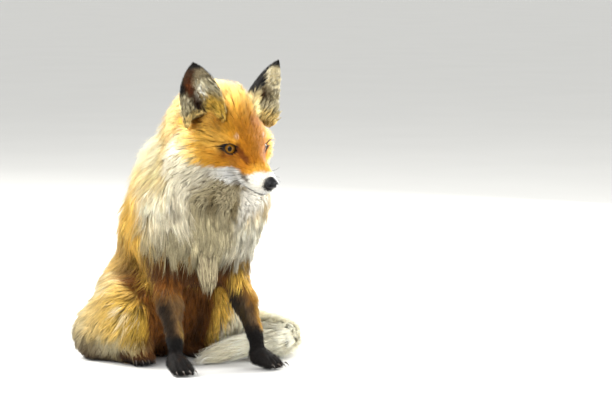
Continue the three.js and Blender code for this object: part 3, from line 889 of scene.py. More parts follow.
# %% Markings of the head
WHITE_EDGE = {
    "ahead": [-60, -30, -10, 0, 8, 14, 24, 36, 50, 57, 62, 68, 76],
    "up": [-6, -22, -32, -29, -25.5, -25, -20.5, -15.5, -14, -6.5, -1.7, 3.7, 8],
}
JAW_EDGE = {
    "ahead": [-50, -10, 0, 8, 16, 26, 40, 60, 74, 80],
    "up": [-46, -39, -40, -42, -46, -48, -45, -38, -31, -27],
}


def head_colours(p, n):
    out, ahead, up = in_head(p).T
    wide = np.abs(out)
    rough = patchy.at(p) * 1.5 + flecked.at(p) * 1.2
    streaky = flecked.at(HEAD + np.stack([out, 0.3 * ahead, 0.3 * up], axis=1) @ HEAD_AXES * MM)
    tone = np.tile(ORANGE, (len(p), 1))
    under_eye = ease(-26, -8, up) * ease(14, 2, up) * ease(44, 30, wide) * ease(56, 40, ahead)
    tone = paint(tone, 0.75 * under_eye, RUST)
    tone = paint(
        tone, 0.6 * ease(0, 12, up) * ease(34, 24, up) * ease(46, 30, ahead) * ease(24, 12, wide), RUST
    )
    tone = paint(tone, 0.65 * ease(24, 36, wide) * ease(24, 8, ahead) * ease(-14, -4, up), GOLD)
    tone = paint(tone, 0.45 * ease(44, 62, ahead), GOLD)
    tone = paint(tone, 0.5 * ease(18, 36, up + 0.2 * wide) * ease(6, -20, ahead), GOLD)
    dashes = ease(0.2, 1.2, streaky) * bump_at(up, 26, 13) * ease(28, 14, wide) * ease(-32, -8, ahead)
    tone = paint(tone, 0.8 * dashes, RUST)
    tone = paint(tone, 0.7 * ease(-10, -42, ahead + rough * 2) * ease(0, 24, up), HAY)
    tone = paint(tone, 0.75 * ease(32, 46, wide + rough * 1.5) * ease(16, -4, ahead), GOLD)
    tone = paint(tone, 0.8 * ease(44, 56, wide + rough) * ease(12, -8, ahead), PALE_GOLD)
    tone = paint(tone, 0.7 * ease(-50, -72, ahead + rough * 2) * ease(60, 30, up), PALE_GOLD)
    tone = paint(tone, ease(54, 66, wide + rough) * ease(6, -12, ahead), CREAM)
    tone = paint(tone, 0.3 * ease(0.4, 1.4, streaky) * ease(20, 40, wide) * ease(30, 10, ahead), RUST)
    tone = tone * mix(1, 0.88, ease(14, 26, wide) * ease(40, 20, up))[:, None]
    # white lips and cheeks, greyer further back, and painted shade under the jaw, olive with smoky streaks
    edge = np.interp(ahead, WHITE_EDGE["ahead"], WHITE_EDGE["up"])
    white = ease(2.5, -2.5, up - edge + rough * 0.8) * ease(-52, -30, ahead)
    tone = paint(tone, white, WHITE)
    tone = paint(tone, 0.8 * white * ease(18, -6, ahead), GREY_CREAM)
    tone = paint(tone, 0.8 * white * ease(-4, -26, ahead), CREAM)
    tone = paint(tone, 0.3 * white * ease(40, 60, ahead) * ease(4, 12, wide), GREY_CREAM)
    lower = ease(-3, -11, up - edge) * ease(66, 30, ahead) * ease(-16, 4, ahead)
    tone = paint(tone, 0.7 * white * ease(0.1, 1.1, streaky) * lower, GRIZZLE)
    # painted shade: below the jaw's edge the white is painted olive with smoky streaks, strongest on the
    # fox's right
    jaw = np.interp(ahead, JAW_EDGE["ahead"], JAW_EDGE["up"])
    shade = ease(2, -3, up - jaw + rough * 0.8) * ease(-6, 12, ahead)
    tone = paint(tone, shade * mix(0.35, 0.85, ease(12, 0, out)), PAINTED_SHADE_OLIVE)
    tone = paint(tone, 0.5 * shade * ease(0.2, 1.2, streaky) * ease(12, 0, out), SMOKE)
    # a dark streak from the eye's inner corner down to the whisker bed, and the pale spot over the brow
    mirrored = np.stack([wide, ahead, up], axis=1)
    streak = limb_field(mirrored, np.array([19.5, 21, 4]), np.array([13.5, 39, 0]), 4.2, 2.6)
    tone = paint(tone, 0.85 * ease(2.2, -1.5, streak + 0.6 * rough), DEEP_RUST)
    bed = np.linalg.norm((mirrored - (20, 48, -17)) / (1.3, 1.6, 0.8), axis=1)
    tone = paint(tone, 0.85 * ease(8.5, 3, bed + 0.8 * rough), SMOKE)
    tone = paint(tone, 0.6 * bump_at(np.linalg.norm(mirrored - (19.5, 12, 15.5), axis=1), 0, 2.2), WHITE)
    # black rims round the eyes, a rusty shade under them and a golden line over them
    for name in SIDES:
        inner, upper, ball, _ = on_lids(name, p)
        near = ease(19, 15, ball)
        below = ease(9, 2, almond(name, p)) * ease(0, -3, upper) * near
        tone = paint(tone, 0.6 * below, DEEP_RUST)
        tone = paint(tone, 0.4 * bump_at(almond(name, p), 4.8, 1.5) * ease(0, 3, upper) * near, GOLD)
        close = mix(ease(14.6, 13.4, ball), near, ease(-2, 3, inner))
        tone = paint(tone, ease(1.1, 0.4, almond(name, p, wider=1.8)) * close, BLACK)
    # the lips' line and the edge of the nose
    tone = paint(tone, 0.95 * bump_at(above_mouth(p), -0.9, 1.8) * ease(22, 36, ahead), BLACK)
    seat = np.linalg.norm(p - NOSE, axis=1) / MM
    return paint(tone, ease(10.2, 9.2, seat + 0.25 * (up + 2)), BLACK)


# %% Markings of the neck and trunk
def body_colours(p, n):
    """A cream front, a pale nape, golden sides, a rusty back and a brown underside, with painted shade under
    the jaw and the ruff and painted light on the ruff's left side.
    """
    x, y, z = p.T
    rough = patchy.at(p) * 0.5 + flecked.at(p) * 0.3
    streaky = flecked.at(p * (1, 1, 0.28) + (0, 0, 0.1))
    across = np.abs(x - CHEST[0])
    front = ease(0.02, -0.55, n[:, 1] + 0.12 * rough)
    back = ease(0.1, 0.85, n[:, 1] + 0.1 * rough)
    tone = np.tile(GOLD, (len(p), 1))
    tone = paint(tone, 0.9 * ease(0.235, 0.285, z + 0.006 * rough), PALE_GOLD)
    tone = paint(tone, 0.85 * (1 - 0.65 * back) * ease(0.26, 0.31, z + 0.006 * rough), CREAM)
    tone = paint(tone, 0.6 * ease(0.25, 0.2, z) * ease(0.2, 1.3, streaky), OLD_GOLD)
    tone = paint(tone, 0.5 * back * ease(0.26, 0.2, z) * ease(0.045, 0.015, across), RUST)
    tone = paint(tone, 0.75 * ease(0.02, 0.06, y + 0.01 * rough) * ease(0.03, 0.06, across), HAY)
    tone = paint(
        tone, 0.6 * ease(0.2, 0.15, z) * ease(-0.3, -0.7, n[:, 0]) * ease(0.0, 1.3, rough), LEG_RUST
    )
    ruff = front * ease(0.0, 0.012, z - RUFF_END - 0.1 * across + 0.006 * rough)
    tone = paint(tone, ruff, ASH_CREAM)
    # painted light: towards the fox's left side, where the light falls, the ash cream ruff is painted snow
    # white
    tone = paint(tone, ruff * ease(-0.02, 0.03, x + 0.012 * rough), SNOW)
    tone = paint(tone, ruff * ease(-0.045, -0.07, x + 0.01 * rough) * ease(0.205, 0.235, z), CREAM)
    tone = paint(tone, ruff * 0.45 * ease(0.4, 1.4, streaky), GRIZZLE)
    tone = tone * mix(1, 0.84, ruff * ease(0.26, 0.22, z))[:, None]
    # painted shade: the jaw's shadow, painted olive down the middle of the throat
    under_jaw = in_head(p)[:, 2]
    throat_shade = ruff * ease(-74, -58, under_jaw) * ease(0.032, 0.012, np.abs(x + 0.032))
    tone = paint(tone, 0.75 * throat_shade, PAINTED_SHADE_OLIVE)
    # the belly under the ruff is warm brown; the dark brown along the ruff's lower edge and in a line
    # between the thighs is painted shade
    below = ease(0.012, -0.002, z - RUFF_END - 0.1 * across + 0.004 * rough) * ease(0.3, -0.4, n[:, 1])
    tone = paint(tone, below * ease(0.085, 0.065, across) * ease(0.012, 0.0, x), WARM_BROWN)
    tone = paint(tone, 0.7 * below * ease(RUFF_END - 0.04, RUFF_END - 0.015, z), DARK_BROWN)
    return paint(tone, 0.75 * below * bump_at(x, CHEST[0] + 0.013, 0.009) * ease(0.1, 0.08, z), DARK_BROWN)


# %% Markings of the haunches
def haunch_colours(p, n):
    x, y, z = p.T
    rough = patchy.at(p) * 0.5 + flecked.at(p) * 0.3
    streaky = flecked.at(p * (1, 0.6, 0.28) + (0, 0, 0.1))
    side = np.where(x > CHEST[0], 1, -1)
    tone = np.tile(OLD_GOLD, (len(p), 1))
    tone = paint(tone, ease(-0.02, 0.03, y + 0.01 * rough), HAY)
    tone = paint(tone, 0.85 * ease(0.03, 0.08, y + 0.01 * rough), ASH_CREAM * 1.15)
    tone = paint(tone, 0.5 * ease(0.2, 1.2, streaky) * ease(0.06, 0.0, y), OLD_GOLD)
    tone = paint(tone, 0.3 * ease(0.9, 1.7, streaky), WARM_BROWN)
    tone = paint(tone, 0.5 * ease(-0.6, -1.5, streaky), CREAM)
    low = ease(0.06, 0.04, z + 0.006 * rough)
    patch = low * ease(-0.02, 0.005, y) * ease(0.045, 0.025, y + 0.01 * rough)
    tone = paint(tone, low * 0.8 * ease(0.02, 0.05, y), SMOKE)
    tone = paint(tone, patch, ASH_CREAM)
    tone = paint(tone, ease(0.03, 0.014, z + 0.005 * rough) * (1 - 0.7 * patch), DARK_BROWN)
    inner = ease(0.1, -0.5, n[:, 0] * side) * ease(0.12, 0.08, z)
    tone = paint(tone, inner * np.where(side > 0, 0, 0.8), WARM_BROWN)
    # painted light: the left haunch's inner and front-facing sides, which lie in shade, are painted cream,
    # far paler than its gold
    facing = np.maximum(inner, ease(0.0, -0.4, n[:, 1]))
    return paint(tone, facing * np.where(side > 0, 0.95, 0), CREAM)


# %% Markings of the legs, feet and tail
def leg_colours(p, n):
    x, _, z = p.T
    rough = patchy.at(p) * 0.5 + flecked.at(p) * 0.5
    streaky = flecked.at(p * (1, 1, 0.4) + (0, 0, 0.1))
    side = np.where(x > CHEST[0], 1, -1)
    outwards = n[:, 0] * side
    tone = np.tile(LEG_RUST, (len(p), 1))
    tone = paint(tone, 0.6 * ease(0.1, 0.7, outwards) * (side > 0), GOLD)
    tone = paint(
        tone, 0.75 * ease(0.112, 0.09, z + 0.01 * rough) * ease(0.5, 0.1, outwards * (side > 0)), SMOKE
    )
    tone = paint(tone, 0.75 * ease(0.2, -0.5, outwards) * (side > 0), SMOKE)
    tone = paint(tone, 0.4 * ease(0.0, 1.2, streaky), DARK_BROWN)
    tone = paint(tone, 0.35 * ease(-0.2, -1.2, streaky) * ease(0.0, -0.6, outwards), GOLD)
    stripe = np.where(side < 0, n @ unit([-0.72, -0.69, 0]), 0.55 - outwards * 0.6)
    stripe = ease(0.62, 0.9, stripe + 0.06 * rough) * ease(0.118, 0.098, z + 0.006 * rough)
    tone = paint(tone, 0.85 * stripe, BLACK)
    return paint(tone, ease(0.062, 0.046, z + 0.008 * rough), BLACK)


def foot_colours(p, n):
    tone = np.tile(BLACK, (len(p), 1))
    hind = ease(-0.045, -0.02, p[:, 1])
    tone = paint(tone, 0.75 * hind * ease(0.006, 0.014, p[:, 2]), WARM_BROWN * 0.6)
    return paint(tone, 0.4 * ease(0.5, 1.6, flecked.at(p)), DARK_BROWN)


def tail_colours(p, n):
    t = on_tail(p)
    rough = patchy.at(p) * 0.5 + flecked.at(p) * 0.4
    tone = np.tile(GOLD, (len(p), 1))
    tone = paint(tone, 0.9 * ease(0.04, 0.3, t), CREAM)
    tone = paint(tone, 0.8 * ease(0.3, 0.45, t), SNOW)
    tone = paint(tone, 0.2 * ease(0.4, 1.4, rough) * ease(0.9, 0.7, t), HAY)
    tone = paint(tone, 0.5 * ease(0.78, 0.86, t + 0.02 * rough), GREY_CREAM)
    return paint(tone, 0.7 * ease(0.88, 0.94, t + 0.02 * rough), WHITE)


# %% [markdown]
# The functions above know nothing of each other, so each part's share at a place is spread from the solids
# as the coat's depth was, and the colours are blended by these shares, sharpened to keep borders short.

# %% Which markings belong where
PARTS = {
    "head": head_colours, "neck": body_colours, "trunk": body_colours, "haunch": haunch_colours,
    "leg": leg_colours, "foot": foot_colours, "tail": tail_colours,
}
PART_OF = {
    "face": "head", "head": "head", "neck": "neck", "trunk": "trunk", "haunch": "haunch", "foreleg": "leg",
    "forepaw": "foot", "hindfoot": "foot", "tail": "tail",
}
belongs = [np.eye(len(PARTS))[list(PARTS).index(PART_OF[n.split("_")[0]])] for n in FLESH]
belongs = np.vstack([np.tile(row, (len(v), 1)) for row, v in zip(belongs, sample_values)])
part_shares = spread(np.vstack(sample_points), belongs, COAT_CELL, COAT_REACH, ROOM_LOW, ROOM_HIGH)
print("parts", *PARTS)


def markings(p, n):
    """The coat's colour at points of the skin with these normals."""
    shares = part_shares.at(p) ** 3
    shares /= shares.sum(axis=1, keepdims=True)
    return sum(part(p, n) * shares[:, [k]] for k, part in enumerate(PARTS.values()))


# %% [markdown]
# ## The ears
#
# An ear is a scoop of thin skin, black on its back and rim, with long pale hair that springs from its
# front edge and crosses the dark inside. Its axis runs from the middle of its base to its tip, and its
# opening is turned outwards from straight ahead, the right ear's further than the left's.

# %% Places on an ear
EAR_TURN = {"left": 20, "right": 39}
EAR_AXES, EAR_BASE, EAR_WIDTH = {}, {}, {}
for name, side in SIDES.items():
    points, _ = shape_of(f"ear_{name}")
    height = points[:, 2]
    base = points[height < np.quantile(height, 0.08)].mean(axis=0)
    axis = points[height.argmax()] - base
    turn = math.radians(EAR_TURN[name])
    facing = along_head(side * math.sin(turn), math.cos(turn), 0.45)
    facing = unit(facing - axis * np.dot(facing, axis) / np.dot(axis, axis))
    lateral = unit(np.cross(axis, facing))
    lateral = lateral * np.sign(np.dot(lateral, OUT * side))
    EAR_BASE[name] = base
    EAR_AXES[name] = np.array([lateral, facing, axis / np.dot(axis, axis)])
    EAR_WIDTH[name] = np.ptp((points - base) @ lateral) / 2
    print(name, "ear", round(float(np.linalg.norm(axis)) / MM), "mm tall")


def on_ear(name, points):
    """Outwards across the ear, from -1 to 1, forwards out of it in metres, and up it, 1 at its tip."""
    lateral, forward, up = ((points - EAR_BASE[name]) @ EAR_AXES[name].T).T
    return lateral / EAR_WIDTH[name], forward, up


def which_ear(points):
    return np.where((points - HEAD) @ OUT > 0, "left", "right")


# %% Markings of the ears
def ear_dark(name, across, height):
    """How dark the hollow of an ear is: a band down from its outer edge, or a patch at its foot."""
    if name == "right":
        middle = np.interp(height, [0.1, 0.3, 0.42, 0.55, 0.75, 0.9], [-0.15, 0.0, 0.2, 0.4, 0.3, 0.2])
        ends = ease(0.04, 0.14, height) * ease(0.98, 0.85, height)
        return clamp(1.3 * bump_at(across, middle, 0.28) * ends)
    return clamp(1.9 * bump_at(across, -0.12, 0.42) * bump_at(height, 0.35, 0.14))


def ear_rim(name, across, height):
    """The black edge of an ear: round its tip and down one side."""
    side = ease(0.46, 0.62, across) if name == "right" else ease(-0.8, -0.95, across)
    return np.maximum(side * ease(0.38, 0.5, height), ease(0.84, 0.92, height))


def ear_colours(p, n):
    tone = np.tile(BLACK, (len(p), 1))
    rough = flecked.at(p)
    for name in SIDES:
        lateral, _, up = on_ear(name, p)
        inside = n @ EAR_AXES[name][1] > 0.05
        golden = ease(0.48, 0.32, up + 0.04 * rough)
        back_tone = paint(np.tile(BLACK, (len(p), 1)), golden, PALE_GOLD)
        hollow = np.tile(ASH_CREAM * (0.75 if name == "right" else 1.1), (len(p), 1))
        hollow = paint(hollow, 0.6 * ease(0.6, 0.72, up) * (name == "right"), SMOKE)
        hollow = paint(hollow, 0.7 * ease(0.5, 0.25, up) * ease(0.1, -0.4, lateral), OLD_GOLD * 0.55)
        hollow = paint(hollow, 0.9 * ease(0.14, 0.06, up), HAY)
        crown_side = ease(0.42, 0.25, up) * ease(-0.35, -0.6, lateral)
        hollow = paint(hollow, 0.8 * crown_side, OLD_GOLD if name == "right" else PALE_GOLD)
        hollow = paint(hollow, ear_dark(name, lateral + 0.06 * rough, up), DARK_BROWN)
        rusty = bump_at(up, 0.55, 0.13) * bump_at(lateral, 0.26, 0.2) * (name == "right")
        hollow = paint(hollow, 0.6 * rusty, DEEP_RUST)
        hollow = paint(hollow, ear_rim(name, lateral, up), BLACK)
        here = which_ear(p) == name
        tone = np.where((here & inside)[:, None], hollow, tone)
        tone = np.where((here & ~inside)[:, None], back_tone, tone)
    return tone


# %% [markdown]
# ## Shader maths
#
# A wrapped socket takes part in Python sums: each operator adds the Math node that does it. Colours go
# through Mix nodes instead, because a Math node would turn them grey.

# %% A wrapped socket
class Socket:
    def __init__(self, tree, link):
        self.tree, self.link = tree, link

    def maths(self, operation, *values):
        made = self.tree.nodes.new("ShaderNodeMath")
        made.operation = operation
        for n, value in enumerate(values):
            if isinstance(value, Socket):
                self.tree.links.new(value.link, made.inputs[n])
            else:
                made.inputs[n].default_value = value
        return Socket(self.tree, made.outputs[0])

    def __add__(self, other):
        return self.maths("ADD", self, other)

    def __mul__(self, other):
        return self.maths("MULTIPLY", self, other)

    def __sub__(self, other):
        return self.maths("SUBTRACT", self, other)

    def __rsub__(self, other):
        return self.maths("SUBTRACT", other, self)

    __radd__, __rmul__ = __add__, __mul__

    def step(self, low, high):
        """0 below low and 1 above high, with a straight ramp between."""
        made = self.maths("DIVIDE", self - low, high - low)
        made.link.node.use_clamp = True
        return made


# %% Nodes and materials
def add_node(tree, kind, settings=None, output=0, **sockets):
    """A shader node: its settings are made first, then its sockets get values or links."""
    made = tree.nodes.new("ShaderNode" + kind)
    for key, value in (settings or {}).items():
        setattr(made, key, value)
    for key, value in sockets.items():
        socket = made.inputs[key.replace("_", " ")]
        if isinstance(value, Socket):
            tree.links.new(value.link, socket)
        else:
            socket.default_value = value
    return Socket(tree, made.outputs[output])


def shader_of(material, **constants):
    """A material's tree and its Principled shader, whose unlinked sockets are set here."""
    material.use_nodes = True
    shader = material.node_tree.nodes["Principled BSDF"]
    for key, value in constants.items():
        shader.inputs[key.replace("_", " ")].default_value = value
    return material.node_tree, shader


def mixed(tree, share, a, b, blend="MIX"):
    """Two colours through a Mix node."""
    made = tree.nodes.new("ShaderNodeMix")
    made.data_type, made.blend_type = "RGBA", blend
    for socket, value in ((made.inputs["Factor"], share), (made.inputs[6], a), (made.inputs[7], b)):
        if isinstance(value, Socket):
            tree.links.new(value.link, socket)
        else:
            socket.default_value = value
    return Socket(tree, made.outputs[2])


def object_place(tree):
    return add_node(tree, "TexCoord", output=3)


# %% [markdown]
# ## Fur and skin, the finishes
#
# Hair is dull, with hardly any sheen, and each lock has one colour that darkens a little at its root, partly
# as the darker underfur and partly as painted shade in the gaps between locks. The skin under it wears the
# same colours, darker, so it could be plain; it still gets a fine grain as bumps, which is all that shows of
# the shortest hair on the nose's bridge, the lids and the feet.

# %% Hair
COAT_COLOUR = "coat_colour"
HAIR = bpy.data.materials.new("fox_hair")
tree, shader = shader_of(HAIR, Sheen_Weight=0.02, Sheen_Roughness=0.4, Specular_IOR_Level=0.12)
tone = add_node(tree, "Attribute", {"attribute_name": COAT_COLOUR})
grain = add_node(tree, "TexNoise", Vector=object_place(tree), Scale=420.0, Detail=2.0)
contrast = mixed(tree, grain * 0.9 + 0.05, (0.1, 0.08, 0.06, 1), (1, 1, 1, 1))
tree.links.new(mixed(tree, 0.2, tone, contrast, "SOFT_LIGHT").link, shader.inputs["Base Color"])
tree.links.new((grain * 0.2 + 0.45).link, shader.inputs["Roughness"])
print("hair nodes", len(tree.nodes))

# %% Skin
def dress_skin(material):
    """Skin under the coat: the coat's colour, darker, with fine short hair as bumps."""
    tree, shader = shader_of(material, Specular_IOR_Level=0.2)
    tone = add_node(tree, "Attribute", {"attribute_name": COAT_COLOUR})
    grain = add_node(tree, "TexNoise", Vector=object_place(tree), Scale=650.0, Detail=3.0)
    shade = mixed(tree, grain, (0.5, 0.46, 0.43, 1), (0.9, 0.88, 0.85, 1))
    tree.links.new(mixed(tree, 1.0, tone, shade, "MULTIPLY").link, shader.inputs["Base Color"])
    tree.links.new((grain * 0.3 + 0.6).link, shader.inputs["Roughness"])
    bumps = add_node(tree, "Bump", Strength=0.4, Distance=0.0006, Height=grain)
    tree.links.new(bumps.link, shader.inputs["Normal"])


dress_skin(SKIN)
dress_skin(EAR_SKIN)
print("skin materials", SKIN.name, EAR_SKIN.name)

# %% Colours of the skin's points
def colour_points(mesh, tones):
    """Writes a colour for each point of a mesh."""
    attribute = mesh.attributes.new(COAT_COLOUR, "FLOAT_COLOR", "POINT")
    filled = np.ones((len(tones), 4), np.float32)
    filled[:, :3] = tones
    attribute.data.foreach_set("color", filled.ravel())


def points_of(mesh):
    """A mesh's points and their normals as arrays."""
    points, normals = (np.empty(len(mesh.vertices) * 3, np.float32) for _ in range(2))
    mesh.vertices.foreach_get("co", points)
    mesh.vertex_normals.foreach_get("vector", normals)
    return points.reshape(-1, 3), normals.reshape(-1, 3)


skin_points, skin_normals = points_of(skin.data)
faces = skin.data.polygons
whose = np.empty(len(faces), np.int32)
faces.foreach_get("material_index", whose)
on_ears = np.zeros(len(skin_points), bool)
for face in np.flatnonzero(whose):
    on_ears[list(faces[face].vertices)] = True
tones = markings(skin_points, skin_normals)
tones[on_ears] = ear_colours(skin_points[on_ears], skin_normals[on_ears])
colour_points(skin.data, tones)
print("skin coloured at", len(skin_points), "points,", int(on_ears.sum()), "of them on the ears")

# %% [markdown]
# ## Locks of hair
#
# A lock is a thin bent spike with three sides: rings of three points along its path and one point at its
# tip, closed at the root. Its path leaves the skin, climbs through the coat's depth and then lies along
# the outer surface, following the lie of the coat. Locks round one guide share its length, height and
# tone and are drawn towards its tip, so that they gather into points as combed fur does, and a few stray
# hairs stand out from the rest.

# %% Patches of skin and their map
BAKE_MAP = "OFBake"
PATCH = 0.003  # a lock's size on the map


def unwrap(piece):
    """Gives a piece its own OFBake map, cut along the shape's own bends."""
    piece.data.uv_layers.new(name=BAKE_MAP)
    bpy.context.view_layer.objects.active = piece
    bpy.ops.object.select_all(action="DESELECT")
    piece.select_set(True)
    bpy.ops.object.mode_set(mode="EDIT")
    bpy.ops.mesh.select_all(action="SELECT")
    bpy.ops.uv.smart_project(angle_limit=1.15, island_margin=0.002)
    bpy.ops.object.mode_set(mode="OBJECT")


def skin_patch(wanted):
    """The triangles of the skin that are wanted: points, triangles, normals and a map of their own."""
    mesh = bpy.data.meshes.new("patch")
    shape = bmesh.new()
    shape.from_mesh(skin.data)
    bmesh.ops.delete(shape, geom=[f for f, keep in zip(shape.faces, wanted) if not keep], context="FACES")
    bmesh.ops.triangulate(shape, faces=shape.faces)
    shape.to_mesh(mesh)
    shape.free()
    piece = bpy.data.objects.new("patch", mesh)
    bpy.context.collection.objects.link(piece)
    unwrap(piece)
    points, normals = points_of(mesh)
    triangles = np.empty(len(mesh.loops), np.int32)
    mesh.loops.foreach_get("vertex_index", triangles)
    corners = np.empty(len(mesh.loops) * 2, np.float32)
    mesh.uv_layers[BAKE_MAP].data.foreach_get("uv", corners)
    bpy.data.objects.remove(piece)
    return points, triangles.reshape(-1, 3), normals, corners.reshape(-1, 3, 2)


def rooted(patch, count, weights=None):
    """Roots scattered over a patch of skin: their places, which way is out, and their places on the map."""
    points, triangles, normals, corners = patch
    roots, found, shares = scattered(points, triangles, count, weights)
    out = unit((normals[triangles[found]] * shares[..., None]).sum(axis=1))
    return roots, out, (corners[found] * shares[..., None]).sum(axis=1)


# %% One mesh of many locks
def spikes(name, paths, across, widths, thickness, tones, places):
    """One mesh of many locks. paths is lock by step by xyz, and across their side directions."""
    count, steps = paths.shape[:2]
    rings = steps - 1
    along = unit(paths[:, 1:] - paths[:, :-1])
    across = unit(across[:, None] - along * (across[:, None] * along).sum(axis=2, keepdims=True))
    above = np.cross(along, across)
    half = widths[..., None] / 2
    points = np.empty((count, rings * 3 + 1, 3))
    points[:, 0:-1:3] = paths[:, :-1] - across * half - above * half * thickness * 0.6
    points[:, 1:-1:3] = paths[:, :-1] + across * half - above * half * thickness * 0.6
    points[:, 2:-1:3] = paths[:, :-1] + above * half * thickness * 1.2
    points[:, -1] = paths[:, -1]
    faces = [(0, 2, 1)]
    for ring in range(rings - 1):
        a, b = ring * 3, ring * 3 + 3
        for n in range(3):
            m = (n + 1) % 3
            faces += [(a + n, a + m, b + m), (a + n, b + m, b + n)]
    faces += [(rings * 3 - 3 + n, rings * 3 - 3 + (n + 1) % 3, rings * 3) for n in range(3)]
    faces = np.array(faces)
    each = rings * 3 + 1
    corners = (faces[None] + np.arange(count)[:, None, None] * each).reshape(-1)
    ring_of = np.r_[np.repeat(np.arange(rings), 3), rings]
    side_of = np.r_[np.tile([-1, 1, 0], rings), 0]
    spot_on_map = np.stack([side_of * 0.35 * PATCH, (ring_of / rings - 0.5) * PATCH], axis=1)
    map_points = places[:, None] + spot_on_map[None]
    mesh = bpy.data.meshes.new(name)
    mesh.vertices.add(count * each)
    mesh.vertices.foreach_set("co", points.astype(np.float32).ravel())
    mesh.loops.add(len(corners))
    mesh.loops.foreach_set("vertex_index", corners.astype(np.int32))
    mesh.polygons.add(len(corners) // 3)
    mesh.polygons.foreach_set("loop_start", np.arange(0, len(corners), 3, dtype=np.int32))
    mesh.update(calc_edges=True)
    mesh.shade_smooth()
    layer = mesh.uv_layers.new(name=BAKE_MAP)
    layer.data.foreach_set("uv", map_points.reshape(-1, 2)[corners].astype(np.float32).ravel())
    colour_points(mesh, tones[:, ring_of].reshape(-1, 3))
    piece = bpy.data.objects.new(name, mesh)
    bpy.context.collection.objects.link(piece)
    mesh.materials.append(HAIR)
    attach(piece, "root")
    print(name, count, "locks", len(mesh.polygons), "triangles")
    return piece


# %% Shaping and shading the locks
FLOOR_GAP = 0.4 * MM
THICKNESS = 0.45  # of a lock, by its width


def planted(name, paths, out, width, tones, places, root_shade=0.55, tip_shade=1.12):
    """A piece of locks on these paths: broadest a third of the way along and darkest at the root."""
    count, steps = paths.shape[:2]
    paths[..., 2] = np.maximum(paths[..., 2], FLOOR_GAP)
    share = np.linspace(0, 1, steps)
    widths = width[:, None] * (0.75 + 0.6 * share - 0.85 * share**2)[None, :-1]
    across = unit(np.cross(paths[:, 1] - paths[:, 0], out) + 1e-9)
    across = unit(across + out * RNG.normal(0, 0.25, (count, 1)))
    # Each lock is painted darker towards its root, partly as the darker underfur and partly as painted shade
    # in the gaps between locks; its tip is a little lighter.
    shade = np.interp(share, [0, 0.4, 1], [root_shade if steps > 2 else (root_shade + 1) / 2, 0.93, 1])
    shade = np.repeat(shade[None], count, axis=0)
    shade[:, -1] = tip_shade
    piece = spikes(name, paths, across, widths, THICKNESS, clamp(tones[:, None] * shade[..., None]), places)


# %% How a coat grows
ROOT_DEPTH = 0.8 * MM  # how far locks start under the skin, and how far their tips may pass the surface


def nearest_guide(roots, guides):
    """For each root, the index among the roots of the nearest guide."""
    tree = kdtree.KDTree(len(guides))
    for n, k in enumerate(guides):
        tree.insert(roots[k], n)
    tree.balance()
    return guides[[tree.find(root)[1] for root in roots]]


def grow(name, wanted, count, steps, clump, pull=0.6, stray=0.05, dark_tips=0.0,
         contrast=(0.1, 0.13), wisps=0.3, root_shade=0.55):
    """Covers the wanted part of the skin with locks, gathered into clumps of about this many mm."""
    patch = skin_patch(wanted)
    points, triangles = patch[:2]
    corners = points[triangles]
    density = 1 / np.maximum(combed.at(corners.mean(axis=1))[:, 2], 0.4) ** 1.6
    roots, out, places = rooted(patch, count, density)
    facing = np.cross(corners[:, 1] - corners[:, 0], corners[:, 2] - corners[:, 0])
    area = np.linalg.norm(facing, axis=1).sum() / 2
    guides = RNG.choice(count, max(int(area / (clump * MM) ** 2), 1), replace=False)
    guide = nearest_guide(roots, guides)
    loose = RNG.random(count) < stray

    def varied(shared, own):
        """A random number for each lock, most of it shared with its guide."""
        return RNG.normal(0, shared, count)[guide] + RNG.normal(0, own, count)

    coat = combed.at(roots)
    length = coat[:, 1] * MM * clamp(1 + varied(0.13, 0.1), 0.6, 1.35) * np.where(loose, 1.2, 1)
    width = coat[:, 2] * MM * clamp(1 + varied(0.05, 0.15), 0.6, 1.4) * np.where(loose, 0.7, 1)
    reach = clamp(0.95 + varied(0.12, 0.07), 0.5, 1.1) + np.where(loose, wisps * RNG.random(count), 0)
    bow = 2.3 - 1.2 * clamp(coat[:, 3], 0, 1.3)
    wander = varied(0.13, 0.05)[:, None] + np.where(loose, RNG.normal(0, 0.16, count), 0)[:, None]
    paths = [roots - out * ROOT_DEPTH]
    place = roots.copy()
    step = (length / (steps - 1))[:, None]
    start = outer.at(roots)
    for n in range(1, steps):
        share = n / (steps - 1)
        lie = combed.at(place)[:, 4:]
        up = outer.slope(place)
        along = unit(lie - up * (lie * up).sum(axis=1, keepdims=True))
        along = unit(along + np.cross(up, along) * wander)
        height = start + (ROOT_DEPTH - start) * reach * (1 - (1 - share) ** bow)
        climb = clamp((height - outer.at(place))[:, None], -0.75 * step, 0.85 * step)
        place = place + along * np.sqrt(np.maximum(step**2 - climb**2, 0)) + up * climb
        paths.append(place)
    paths = np.stack(paths, axis=1)
    drawn = np.where(loose, 0.15, 1) * pull * RNG.uniform(0.75, 1.15, count)
    target = paths[guide] + (roots - roots[guide])[:, None] * 0.2
    paths = mix(paths, target, (np.linspace(0, 1, steps)[None, :] ** 1.3 * drawn[:, None])[..., None])
    tones = markings(roots, out) * (1 + clamp(varied(*contrast), -0.5, 0.45))[:, None]
    tip = np.where((RNG.random(count) < 0.6) & (RNG.random(count)[guide] < dark_tips), 0.35, 1.12)
    planted(name, paths, out, width, tones, places, root_shade, tip)


# %% [markdown]
# ## The coat, part by part
#
# Each part of the coat is its own piece, so that none grows too heavy. A face of the skin belongs to the
# part whose share is greatest where it lies. The hair is shortest on the nose's bridge and the feet, and
# none grows on the lids' rims, between the lips or under the nose.

